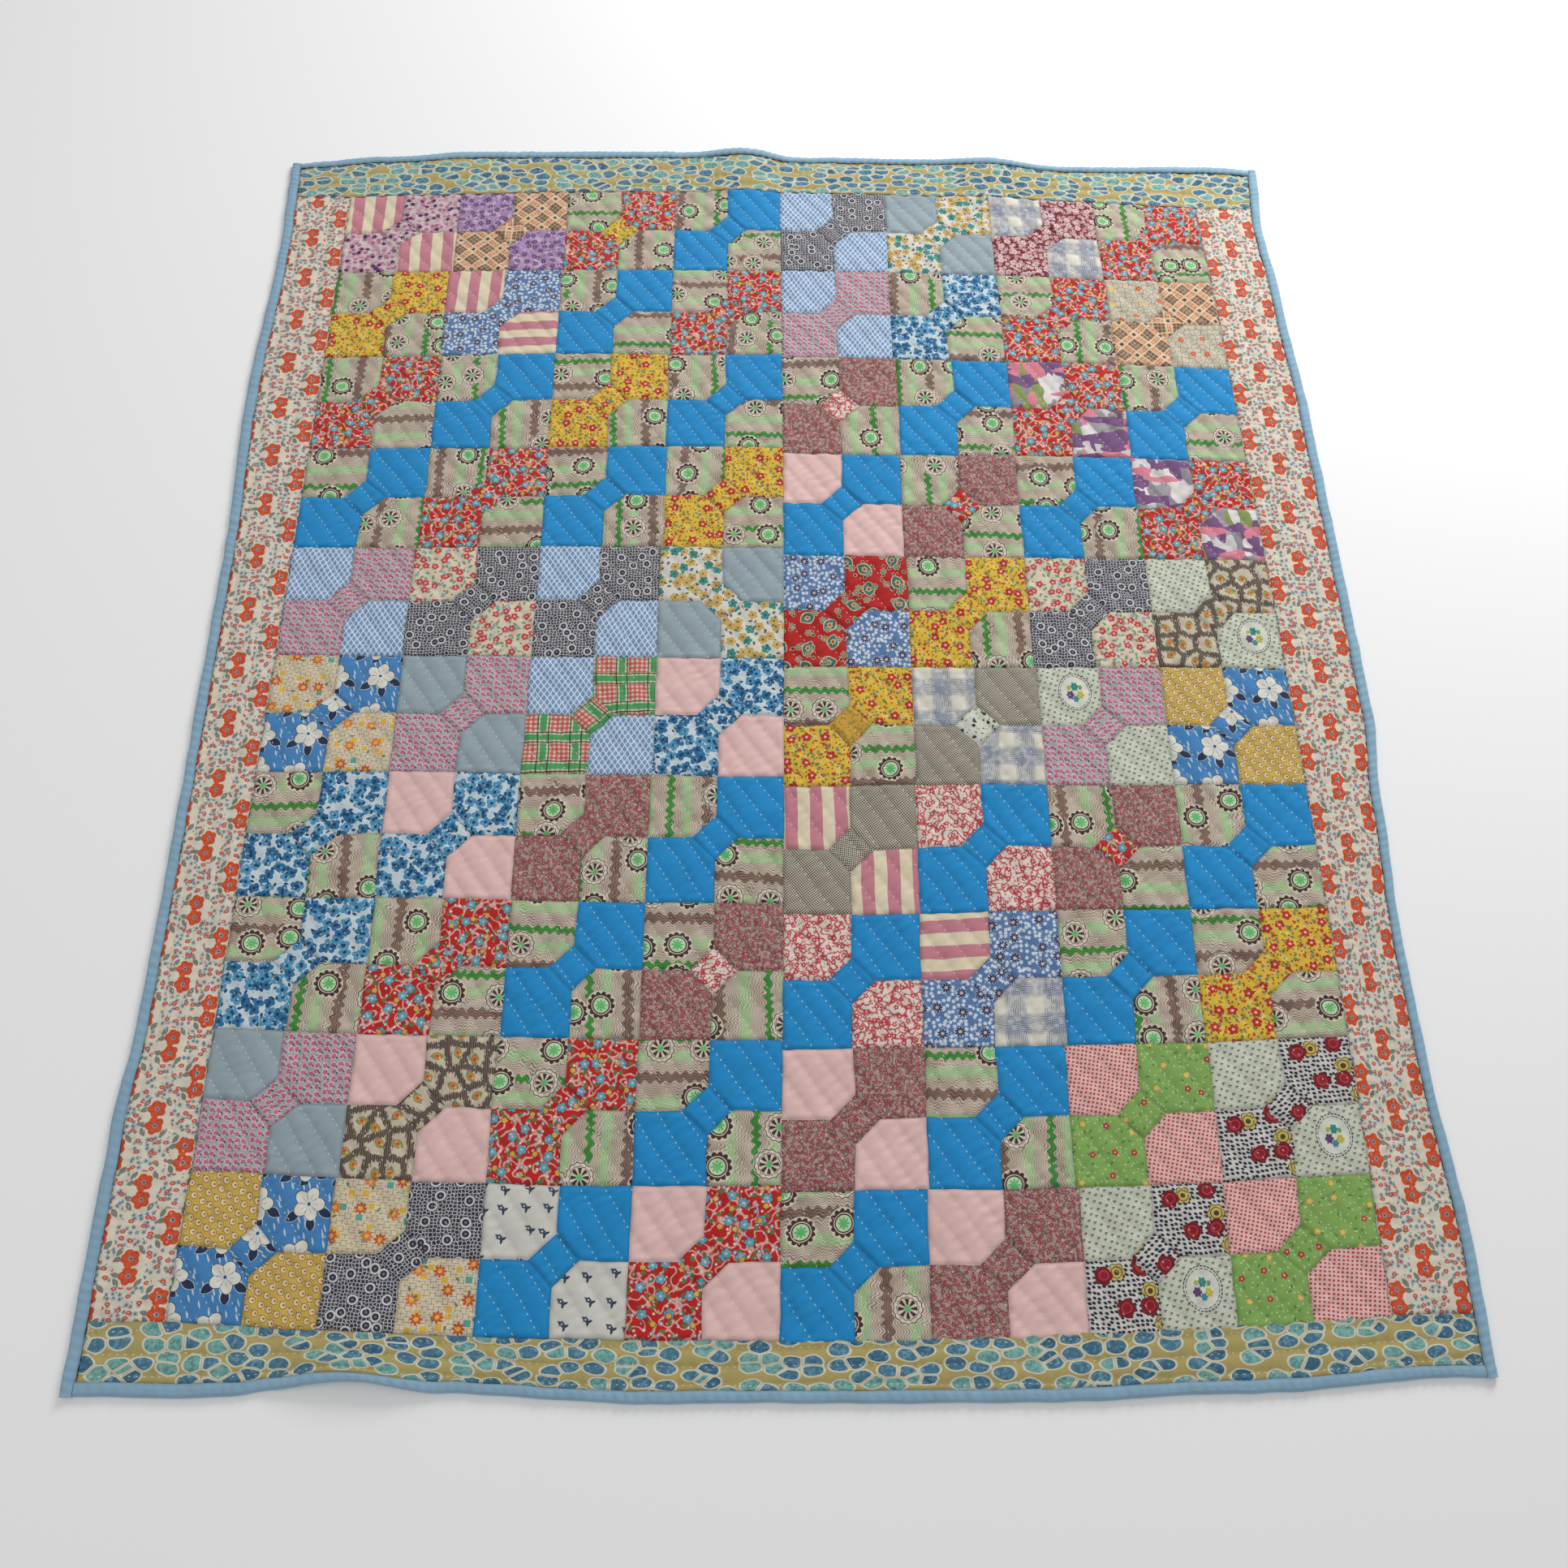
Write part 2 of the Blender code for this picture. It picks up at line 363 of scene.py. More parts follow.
class Spot:
    """One motif's own measures: where a point is from its centre, and three chances drawn for it."""

    def __init__(self, vector: bpy.types.NodeSocket, chances: bpy.types.NodeSocket) -> None:
        """Hold the vector from the motif's centre, in mm, and its random colour."""
        self.tree = vector.id_data
        self.vector = vector
        self.chances = chances

    def chance(self, number: int) -> Shade:
        """One of the three chances, from 0 to 1."""
        return Shade(add_node(self.tree, "SeparateXYZ", {0: self.chances}, output=number))

    def moved(self, offset: tuple[float, float]) -> Spot:
        """The same motif, seen from a point off its centre."""
        feeds = {0: self.vector, 1: (*offset, 0)}
        return Spot(add_node(self.tree, "VectorMath", feeds, operation="SUBTRACT"), self.chances)

    def turned(self, angle: float | Shade) -> Spot:
        """The motif turned by an angle in radians."""
        feeds = {"Vector": self.vector, "Angle": angle.socket if isinstance(angle, Shade) else angle}
        socket = add_node(self.tree, "VectorRotate", feeds, rotation_type="Z_AXIS")
        return Spot(socket, self.chances)

    def squeezed(self, stretch: float) -> Spot:
        """The motif drawn out along its own length."""
        feeds = {0: self.vector, 1: (1 / stretch, 1, 1)}
        return Spot(add_node(self.tree, "VectorMath", feeds, operation="MULTIPLY"), self.chances)

    @property
    def radius(self) -> Shade:
        """Distance from the centre."""
        return Shade(add_node(self.tree, "VectorMath", {0: self.vector}, output=1, operation="LENGTH"))

    @property
    def x(self) -> Shade:
        """Distance along the motif."""
        return Shade(add_node(self.tree, "SeparateXYZ", {0: self.vector}, output=0))

    @property
    def y(self) -> Shade:
        """Distance across the motif."""
        return Shade(add_node(self.tree, "SeparateXYZ", {0: self.vector}, output=1))

    @property
    def angle(self) -> Shade:
        """Direction from the centre, in radians."""
        return self.y.calc("ARCTAN2", self.x)

    def lobes(self, petals: int) -> Shade:
        """From 0 between the petals to 1 along their middles."""
        return abs((self.angle * (petals / 2)).calc("COSINE"))


class Pen:
    """Draws a print on one material, in mm of cloth."""

    def __init__(self, material: bpy.types.Material, ground: str) -> None:
        """Start from the dyed ground."""
        self.tree = material.node_tree
        self.cloth = add_node(self.tree, "UVMap", {}, uv_map="print")
        self.colour = add_node(self.tree, "RGB", {})
        self.colour.default_value = linear(ground)

    def across(self, turn: float = 0.0) -> tuple[Shade, Shade]:
        """The cloth's two directions, turned by an angle in degrees."""
        spot = Spot(self.cloth, self.cloth)
        if turn:
            spot = spot.turned(math.radians(turn))
        return spot.x, spot.y

    def paint(self, mask: Shade, colour: str | bpy.types.NodeSocket) -> None:
        """Print a colour where the mask is 1."""
        ink = linear(colour) if isinstance(colour, str) else colour
        feeds = {0: mask.socket, 6: self.colour, 7: ink}
        self.colour = add_node(self.tree, "Mix", feeds, output=2, data_type="RGBA")

    def mottle(self, pitch: float, seed: float = 0.0, detail: float = 0.0) -> Shade:
        """Cloudy variation, from 0 to 1, with clouds of about the pitch in mm."""
        feeds = {"Vector": self.cloth, "W": seed, "Scale": 1 / pitch, "Detail": detail}
        return Shade(add_node(self.tree, "TexNoise", feeds, noise_dimensions="4D"))

    def from_cell_edge(
        self, pitch: float, wander: float, vector: bpy.types.NodeSocket | None = None
    ) -> Shade:
        """Distance in mm from the edges of scattered cells.

        Args:
            pitch: mm between the cells' middles.
            wander: how far each leaves its even place, from 0 to 1.
            vector: the place to measure, or the cloth's own.

        Returns:
            The distance.
        """
        place = self.cloth if vector is None else vector
        feeds = {"Vector": place, "Scale": 1 / pitch, "Randomness": wander}
        settings = {"voronoi_dimensions": "2D", "feature": "DISTANCE_TO_EDGE"}
        return Shade(add_node(self.tree, "TexVoronoi", feeds, **settings)) * pitch

    def scatter(self, pitch: float, wander: float, seed: float, turn: float = 0.0) -> Spot:
        """Places for a motif.

        Args:
            pitch: mm between motifs.
            wander: how far each leaves its even place, from 0 to 1.
            seed: picks other places.
            turn: angle of the rows, in degrees.

        Returns:
            The nearest motif's measures.
        """
        start = (137.7 * seed, 71.3 * seed, 0)
        feeds = {0: self.cloth, 1: start}
        moved = add_node(self.tree, "VectorMath", feeds, operation="ADD")
        if turn:
            feeds = {"Vector": moved, "Angle": math.radians(turn)}
            moved = add_node(self.tree, "VectorRotate", feeds, rotation_type="Z_AXIS")
        feeds = {"Vector": moved, "Scale": 1 / pitch, "Randomness": wander}
        place = add_node(self.tree, "TexVoronoi", feeds, output="Position", voronoi_dimensions="2D")
        chances = place.node.outputs["Color"]
        vector = add_node(self.tree, "VectorMath", {0: moved, 1: place}, operation="SUBTRACT")
        return Spot(vector, chances)


class Shape(Enum):
    """The outline of one layer of a print."""

    FLOWER = "flower"
    DISC = "disc"
    RING = "ring"
    LEAF = "leaf"
    SQUARE = "square"
    VINES = "vines"
    CLOUDS = "clouds"
    NET = "net"
    STRIPES = "stripes"
    DASHES = "dashes"


@dataclass(frozen=True)
class Layer:
    """One colour of a print, with the motif that it prints. Sizes are in mm of cloth."""

    shape: Shape
    ink: str
    pitch: float = 12.0
    size: float = 3.0
    petals: int = 5
    depth: float = 0.3
    wander: float = 0.6
    share: float = 1.0
    seed: float = 0.0
    stretch: float = 1.0
    turn: float = 0.0
    tumble: bool = False
    at: tuple[float, float] = (0.0, 0.0)
    grid_turn: float = 0.0
    second: str = ""
    edge: str = ""
    edge_width: float = 0.8
    centre: str = ""
    centre_size: float = 1.2
    soft: float = 0.6

    def draw(self, pen: Pen) -> None:
        """Print this layer."""
        if self.shape in (Shape.FLOWER, Shape.DISC, Shape.RING, Shape.LEAF, Shape.SQUARE):
            self._draw_motifs(pen)
        elif self.shape is Shape.VINES:
            line = abs(pen.mottle(self.pitch, self.seed, 0.5) - 0.5) * self.pitch
            pen.paint(line.below(self.size / 2, self.soft), self.ink)
        elif self.shape is Shape.CLOUDS:
            cloud = (pen.mottle(self.pitch, self.seed, 1.0) - (1 - self.share)) * self.pitch
            pen.paint(cloud.above(0, self.soft), self.ink)
        elif self.shape is Shape.NET:
            gap = pen.from_cell_edge(self.pitch, self.wander)
            pen.paint(gap.below(self.size / 2, self.soft), self.ink)
        else:
            self._draw_lines(pen)

    def _draw_lines(self, pen: Pen) -> None:
        """Print stripes, or dashes set like bricks."""
        x, y = pen.across(self.turn)
        mask = x.from_line(self.pitch).below(self.size / 2, self.soft)
        if self.shape is Shape.DASHES:
            row = x.calc("MULTIPLY_ADD", 1 / self.pitch, 0.5).calc("FLOOR")
            shifted = y + row * (self.stretch * 0.5)
            mask = mask * shifted.from_line(self.stretch).below(self.stretch * self.share / 2, self.soft)
        elif self.share < 1:
            mask = mask * self.share
        pen.paint(mask, self.ink)

    def _draw_motifs(self, pen: Pen) -> None:
        """Print a motif at scattered places."""
        spot = pen.scatter(self.pitch, self.wander, self.seed, self.grid_turn)
        shown = spot.chance(0).below(self.share, 0.001) if self.share < 1 else None
        if self.tumble:
            spot = spot.turned(spot.chance(1) * 6.283)
        elif self.turn:
            spot = spot.turned(math.radians(self.turn))
        if self.at != (0.0, 0.0):
            spot = spot.moved(self.at)
        if self.stretch != 1:
            spot = spot.squeezed(self.stretch)
        outside = self._outline(spot)
        for ink, grown in ((self.edge, self.edge_width), (self.ink, 0.0)):
            if ink:
                mask = outside.below(grown, self.soft)
                pen.paint(mask * shown if shown else mask, ink)
        if self.second:
            mask = outside.below(0, self.soft) * spot.chance(2).above(0.5, 0.001)
            pen.paint(mask * shown if shown else mask, self.second)
        if self.centre:
            mask = spot.radius.below(self.centre_size, self.soft)
            pen.paint(mask * shown if shown else mask, self.centre)

    def _outline(self, spot: Spot) -> Shade:
        """Distance outside the motif's outline, negative inside."""
        if self.shape is Shape.FLOWER:
            lobe = spot.lobes(self.petals)
            reach = lobe.calc("MULTIPLY_ADD", self.size * self.depth, self.size * (1 - self.depth))
            return spot.radius - reach
        if self.shape is Shape.RING:
            return abs(spot.radius - self.size) - self.depth
        if self.shape is Shape.LEAF:
            bow = (spot.x * spot.x) / self.size
            return abs(spot.y) + bow - self.size
        if self.shape is Shape.SQUARE:
            return abs(spot.x).calc("MAXIMUM", abs(spot.y)) - self.size
        return spot.radius - self.size


@dataclass(frozen=True)
class Cotton:
    """Plain-woven quilting cotton, washed soft: matt, finely crumpled, with a bloom of fibre."""

    name: str
    ground: str
    layers: tuple[Layer, ...] = ()
    thread: str = "#E9E4DA"
    roughness: float = 0.92
    sheen: float = 0.12

    def draw(self, pen: Pen) -> None:
        """Print the cloth, layer by layer."""
        for layer in self.layers:
            layer.draw(pen)

    def material(self) -> bpy.types.Material:
        """Make the finished material."""
        made = bpy.data.materials.new(self.name)
        made.use_nodes = True
        tree = made.node_tree
        shader = tree.nodes["Principled BSDF"]
        pen = Pen(made, self.ground)
        self.draw(pen)
        self._age(pen)
        self._stitch(pen)
        tree.links.new(pen.colour, shader.inputs["Base Color"])
        tree.links.new(self._grain(pen), shader.inputs["Normal"])
        shader.inputs["Roughness"].default_value = self.roughness
        shader.inputs["Specular IOR Level"].default_value = 0.25
        shader.inputs["Sheen Weight"].default_value = self.sheen
        shader.inputs["Sheen Roughness"].default_value = 0.6
        return made

    def _age(self, pen: Pen) -> None:
        """Fade the cloth unevenly, and paint shade along its seams, darkest in the seam ditches."""
        fade = pen.mottle(46.0, 3.0, 2.0).calc("MULTIPLY_ADD", 0.30, 0.86)
        # Painted shade: the seam mark darkens the colour by up to 30 % along the seam ditches and the
        # binding's hem.
        seam = Shade(add_node(pen.tree, "Attribute", {}, output="Fac", attribute_name="seam"))
        tone = fade * seam.calc("MULTIPLY_ADD", -0.30, 1.0)
        grey = add_node(pen.tree, "CombineXYZ", {0: tone.socket, 1: tone.socket, 2: tone.socket})
        feeds = {0: 1.0, 6: pen.colour, 7: grey}
        pen.colour = add_node(
            pen.tree, "Mix", feeds, output=2, data_type="RGBA", blend_type="MULTIPLY"
        )

    def _stitch(self, pen: Pen) -> None:
        """Lay the quilting thread's running stitches."""
        quilting = add_node(pen.tree, "UVMap", {}, uv_map="quilting")
        spot = Spot(quilting, quilting)
        off_line = spot.y.from_line(STITCH_ROW)
        off_stitch = spot.x.from_line(STITCH_STEP)
        mask = off_line.below(STITCH_WIDTH / 2, 0.5) * off_stitch.below(STITCH_LENGTH / 2, 0.6)
        pen.paint(mask * 0.8, self.thread)

    def _grain(self, pen: Pen) -> bpy.types.NodeSocket:
        """Crumple the washed cloth finely."""
        crumple = pen.mottle(3.2, 8.0, 2.0)
        feeds = {"Strength": 0.35, "Distance": 0.0009, "Height": crumple.socket}
        return add_node(pen.tree, "Bump", feeds)


@dataclass(frozen=True)
class WavyPrint(Cotton):
    """Cotton printed with lines like rippled sand, green and brown bands, and round medallions."""

    line_pitch: float = 3.5
    swing: float = 2.4
    swing_length: float = 13.0
    repeat: float = 118.0
    lines: str = "#8C7362"
    dark: str = "#452F28"
    green: str = "#45963B"
    mint: str = "#79C66F"

    def draw(self, pen: Pen) -> None:
        """Print the ripples, then the bands, then the medallions."""
        x, y = pen.across()
        sway = (pen.mottle(30.0, 1.0) - 0.5) * 16
        beat = (x * (2 * math.pi / self.swing_length) + sway * 0.5).calc("SINE") * self.swing
        ripple_y = y + sway + beat + (pen.mottle(9.0, 2.0) - 0.5) * 2.5
        width = pen.mottle(22.0, 5.0).calc("MULTIPLY_ADD", 1.3, 0.12)
        lines = (ripple_y.from_line(self.line_pitch) - width).below(0, 0.6)
        pen.paint(lines * 0.92, self.lines)
        band = y + beat
        self._band(pen, band, lines, 66.0, 6.0, "#94796B", self.dark)
        for start in (32.0, 95.0):
            strands = (ripple_y.from_line(self.line_pitch) - 0.85).below(0, 0.6)
            pen.paint(strands * band.from_line(self.repeat, start).below(7.0, 5.0), self.mint)
        self._band(pen, band, lines, 0.0, 4.2, self.green, "#2B6B2C")
        self._medallions(pen)

    def _band(
        self, pen: Pen, band: Shade, lines: Shade, start: float, half: float, fill: str, strokes: str
    ) -> None:
        """Print one band along the cloth, filled, with the ripples darker in it."""
        off = band.from_line(self.repeat, start)
        inside = off.below(half, 1.2)
        pen.paint(inside, fill)
        pen.paint(inside * lines * 0.8, strokes)
        pen.paint(abs(off - half).below(0.5, 0.6) * 0.45, strokes)

    def _medallions(self, pen: Pen) -> None:
        """Print round medallions of two kinds."""
        spot = pen.scatter(60.0, 0.55, 3.0)
        radius = spot.radius
        teeth = abs((spot.angle * 6.5).calc("SINE"))
        rays = spot.lobes(8)
        shown = spot.chance(0).below(0.82, 0.001)
        first = spot.chance(2).below(0.5, 0.001) * shown
        second = spot.chance(2).above(0.5, 0.001) * shown
        cream = "#D8CDBB"
        pen.paint(radius.below(20.0) * shown, cream)
        outer = teeth.calc("MULTIPLY_ADD", 3.6, 15.2)
        pen.paint((radius - outer).below(0) * first, self.dark)
        pen.paint(abs(radius - 12.6).below(0.6) * first, cream)
        pen.paint(radius.below(10.2) * first, "#C3DDB4")
        star = rays.calc("MULTIPLY_ADD", 4.5, 3.6)
        pen.paint((radius - star).below(0) * first, "#69BD72")
        pen.paint(abs(radius - teeth.calc("MULTIPLY_ADD", 1.6, 17.3)).below(0.65) * second, self.dark)
        pen.paint(abs(radius - teeth.calc("MULTIPLY_ADD", -1.4, 14.6)).below(0.5) * second, self.dark)
        petals = rays.above(0.62, 0.25) * abs(radius - 8.4).below(3.9)
        pen.paint(petals * second, self.dark)
        pen.paint(radius.below(4.2) * second, "#69BD72")


@dataclass(frozen=True)
class Trellis(Cotton):
    """Light blue cotton with a white diamond trellis, and a ring in each diamond."""

    pitch: float = 7.4
    steep: float = 57.0

    def draw(self, pen: Pen) -> None:
        """Print the rings, then the trellis over them."""
        one = pen.across(self.steep)[1].from_line(self.pitch)
        other = pen.across(-self.steep)[1].from_line(self.pitch)
        inner, inner_other = one - self.pitch / 2, other - self.pitch / 2
        reach = (inner * inner + inner_other * inner_other).calc("SQRT")
        pen.paint(abs(reach - 1.75).below(0.55, 0.5) * 0.85, "#4B76AC")
        for line in (one, other):
            pen.paint(line.below(0.72, 0.7) * 0.9, "#DCE6EE")


@dataclass(frozen=True)
class ToneOnTonePlaid(Cotton):
    """Cotton printed with a plaid set on the cross: brown squares, orange bars, cream lines."""

    pitch: float = 33.0
    band: float = 6.2

    def draw(self, pen: Pen) -> None:
        """Print the squares' grid, then the bars, then the crossings."""
        ways = pen.across(45.0)
        one, other = (way.from_line(self.pitch) for way in ways)
        for way in ways:
            pen.paint(way.from_line(6.6).below(0.5, 0.5) * 0.75, "#CDB59A")
        pen.paint(one.calc("MINIMUM", other).below(self.band), "#DEC6A4")
        for across, along in ((one, ways[1]), (other, ways[0])):
            bar = across.below(3.6) * across.above(1.0) * along.from_line(6.6, 3.3).below(2.7)
            pen.paint(bar, "#D2703C")
            pen.paint(across.below(0.4) * 0.6, "#8B6B4E")
        knot = one.calc("MAXIMUM", other)
        pen.paint(knot.below(self.band), "#DEC6A4")
        pen.paint(knot.below(3.0), "#5B4638")


@dataclass(frozen=True)
class PenPlaid(Cotton):
    """Cream cotton crossed by broad bands of fine pen lines in slate blue."""

    pitch: float = 52.0
    band: float = 14.0

    def draw(self, pen: Pen) -> None:
        """Print the two ways of lines, and a wash where they run."""
        sway = (pen.mottle(20.0, 1.0) - 0.5) * 7
        for way, other in (pen.across(), reversed(pen.across())):
            inside = way.from_line(self.pitch).below(self.band, 5.0)
            pen.paint(inside * 0.42, "#9AA3B4")
            lines = (way + sway + (other * 0.13).calc("SINE")).from_line(2.6).below(0.42, 0.5)
            breaks = pen.mottle(7.0, 4.0).above(0.42, 0.2)
            pen.paint(lines * inside * breaks, "#56617F")


@dataclass(frozen=True)
class Tartan(Cotton):
    """Red and white gingham, barred in green with dark brown lines."""

    pitch: float = 47.0

    def draw(self, pen: Pen) -> None:
        """Print the gingham, then the bars both ways."""
        ways = pen.across()
        for way in ways:
            pen.paint(way.from_line(7.0).below(1.9, 0.5) * 0.72, "#C23B37")
        for turn, way in enumerate(ways):
            off = way.from_line(self.pitch, 12.0)
            other = ways[1 - turn].from_line(self.pitch, 12.0)
            pen.paint(off.below(9.6), "#D9CFB6")
            pen.paint(off.below(9.6) * ways[1 - turn].from_line(7.0).below(1.7, 0.5) * 0.5, "#4E8B4D")
            pen.paint(off.below(4.6) * 0.95, "#3C9A55")
            pen.paint(abs(off - 8.0).below(1.0) * 0.9, "#453328")
            pen.paint(abs(other - 8.0).below(1.0) * off.below(9.6) * 0.9, "#453328")


@dataclass(frozen=True)
class Gingham(Cotton):
    """Tiny woven-look check in black on cream."""

    pitch: float = 4.2

    def draw(self, pen: Pen) -> None:
        """Print two sets of squares, half a step apart."""
        ways = pen.across(8.0)
        for start in (0.0, self.pitch / 2):
            one, other = (way.from_line(self.pitch, start).below(self.pitch / 4, 0.5) for way in ways)
            pen.paint(one * other, "#3B3730")


@dataclass(frozen=True)
class Facets(Cotton):
    """Cotton printed with sharp leaning shapes in grey, plum, white and pink."""

    inks: tuple[str, ...] = ("#A29AA0", "#77527E", "#CFC9C9", "#8B8690", "#D77F92", "#DEDAD6", "#8C9A5C")

    def draw(self, pen: Pen) -> None:
        """Print the shapes as cells, then the bars across them."""
        for number, (pitch, stretch, turn) in enumerate(((30.0, 2.2, 78.0), (34.0, 2.6, 4.0))):
            spot_space = Spot(pen.cloth, pen.cloth).turned(math.radians(turn)).squeezed(stretch)
            feeds = {"Vector": spot_space.vector, "Scale": stretch / pitch, "Randomness": 1.0}
            cell = add_node(
                pen.tree, "TexVoronoi", feeds, "Color", voronoi_dimensions="2D", distance="MANHATTAN"
            )
            chance = Shade(add_node(pen.tree, "SeparateXYZ", {0: cell}, output=0))
            inks = self.inks if number == 0 else self.inks[1:2] + self.inks[4:5] + self.inks[1:2]
            for place, ink in enumerate(inks):
                low = place / len(inks) if number == 0 else 0.62 + place * 0.12
                high = low + (1 / len(inks) if number == 0 else 0.12)
                pen.paint(chance.above(low, 0.001) * chance.below(high, 0.001), ink)


@dataclass(frozen=True)
class Ikat(Cotton):
    """Cream cells in a shaggy dark net, with a small blossom in each."""

    pitch: float = 31.0

    def draw(self, pen: Pen) -> None:
        """Print the shaggy net and the blossoms."""
        x, y = pen.across()
        hair = add_node(
            pen.tree,
            "TexNoise",
            {"Vector": Spot(pen.cloth, pen.cloth).squeezed(0.32).vector, "Scale": 0.16, "Detail": 1.0},
        )
        net = pen.from_cell_edge(self.pitch, 0.65) + (Shade(hair) - 0.5) * 13
        pen.paint(net.below(4.6, 1.0), "#463630")
        pen.paint(x.from_line(2.4).below(0.35, 0.5) * net.below(5.6, 1.0) * 0.6, "#B5A894")
        layers = (
            Layer(Shape.LEAF, "#7D8B5C", self.pitch, 5.6, wander=0.65, stretch=1.6, tumble=True),
            Layer(
                Shape.FLOWER, "#D08A45", self.pitch, 5.4, petals=7, depth=0.5, wander=0.65,
                centre="#C2512F", centre_size=2.2,
            ),
            Layer(Shape.DISC, "#D9B85A", self.pitch, 1.7, wander=0.65, at=(3.4, -2.6)),
        )
        for layer in layers:
            layer.draw(pen)


@dataclass(frozen=True)
class Bouquet(Cotton):
    """Mint cotton with small sprigs, and one oval wreath that frames a bouquet."""

    middle: tuple[float, float] = (8.0, 6.0)

    def draw(self, pen: Pen) -> None:
        """Print the sprigs, the wreath and the bouquet."""
        super().draw(pen)
        spot = Spot(pen.cloth, pen.cloth).moved(self.middle).squeezed(0.84)
        radius, angle = spot.radius, spot.angle
        pen.paint(radius.below(30.0), "#D5D8CA")
        beads = abs((angle * 17).calc("SINE")).above(0.35, 0.5)
        pen.paint(abs(radius - 29.0).below(1.0) * beads, "#4F5350")
        pen.paint(abs(radius - 25.6).below(0.9) * abs((angle * 11).calc("SINE")).above(0.4, 0.5), "#7A8079")
        near = radius.below(17.5, 1.0)
        blooms = (
            ((0.0, 8.5), 7.2, "#3E8E84", "#256A6C"),
            ((9.0, -4.5), 7.0, "#C9BC55", "#9B8A35"),
            ((-8.6, -4.0), 7.0, "#6C4A7C", "#463058"),
            ((0.5, -10.5), 5.6, "#4E93A8", "#2E5F78"),
            ((-9.5, 7.5), 4.2, "#CFC263", "#6C8B4A"),
            ((9.5, 7.0), 4.0, "#7FA86A", "#4D7D50"),
        )
        for place, size, ink, heart in blooms:
            bloom = spot.moved(place)
            outline = bloom.radius - bloom.lobes(6).calc("MULTIPLY_ADD", size * 0.3, size * 0.7)
            pen.paint(outline.below(0) * near, ink)
            pen.paint(abs(outline + size * 0.42).below(0.7) * 0.8, heart)


@dataclass(frozen=True)
class Hibiscus(Cotton):
    """Blue cotton with large white blossoms, navy leaves and white brush strokes."""

    pitch: float = 58.0

    def draw(self, pen: Pen) -> None:
        """Print the strokes, the leaves and the blossoms."""
        strokes = Layer(
            Shape.LEAF, "#C9D6DC", 12.0, 1.1, wander=0.9, share=0.6, stretch=5.0, turn=70.0, seed=4.0
        )
        strokes.draw(pen)
        for at, turn in (((21.0, 13.0), 25.0), ((-20.0, 15.0), 140.0), ((4.0, -25.0), 80.0)):
            Layer(
                Shape.LEAF, "#20304F", self.pitch, 5.6, wander=0.35, stretch=1.9, turn=turn,
                at=(math.hypot(*at), 0.0), edge="#D5D6CE", edge_width=0.7,
            ).draw(pen)
        spot = pen.scatter(self.pitch, 0.35, 0.0)
        lobes = spot.lobes(5)
        outline = spot.radius - lobes.calc("MULTIPLY_ADD", 7.5, 13.5)
        pen.paint(outline.below(1.0), "#22324F")
        pen.paint(outline.below(0), "#DEDCD0")
        creases = lobes.below(0.10, 0.08) * spot.radius.above(4.5)
        pen.paint(creases * outline.below(-1.5), "#22324F")
        veins = abs((spot.angle * 5).calc("SINE")).below(0.16, 0.1) * abs(spot.radius - 8.0).below(4.0)
        pen.paint(veins * 0.75, "#4A5C84")
        pen.paint(spot.radius.below(2.6), "#5A78A8")
        pen.paint(spot.radius.below(1.2), "#22324F")


@dataclass(frozen=True)
class StoneBorder(Cotton):
    """Cotton printed with rounded pebbles in dusty blue and teal, outlined in cream on olive gold."""

    pitch: float = 19.0
    stretch: float = 1.55
    wander: float = 0.92

    def draw(self, pen: Pen) -> None:
        """Print the outlines, then each pebble's fill and its fine hatching."""
        warped = (pen.mottle(26.0, 1.0) - 0.5) * 9
        x, y = pen.across()
        vector = add_node(pen.tree, "CombineXYZ", {0: (x / self.stretch).socket, 1: (y + warped).socket})
        feeds = {"Vector": vector, "Scale": 1 / self.pitch, "Randomness": self.wander}
        place = add_node(pen.tree, "TexVoronoi", feeds, "Position", voronoi_dimensions="2D")
        offset = add_node(pen.tree, "VectorMath", {0: vector, 1: place}, operation="SUBTRACT")
        spot = Spot(offset, place.node.outputs["Color"])
        edge = pen.from_cell_edge(self.pitch, self.wander, vector)
        round_off = (spot.radius - 10.4) * -0.8
        inside = edge.calc("MINIMUM", round_off)
        pen.paint(inside.above(0.25, 0.6), "#D6D3BE")
        pebble = inside.above(1.75, 0.6)
        chance = spot.chance(0)
        pen.paint(pebble, "#4F7E97")
        pen.paint(pebble * chance.above(0.62, 0.001), "#79AFA6")
        pen.paint(pebble * chance.below(0.22, 0.001), "#3F6C88")
        hatch = pen.mottle(4.2, 6.0, 2.0)
        pen.paint(pebble * hatch.above(0.56, 0.16) * 0.5, "#2F5A6E")
        pen.paint(pebble * hatch.below(0.40, 0.14) * 0.4, "#9CC3C6")


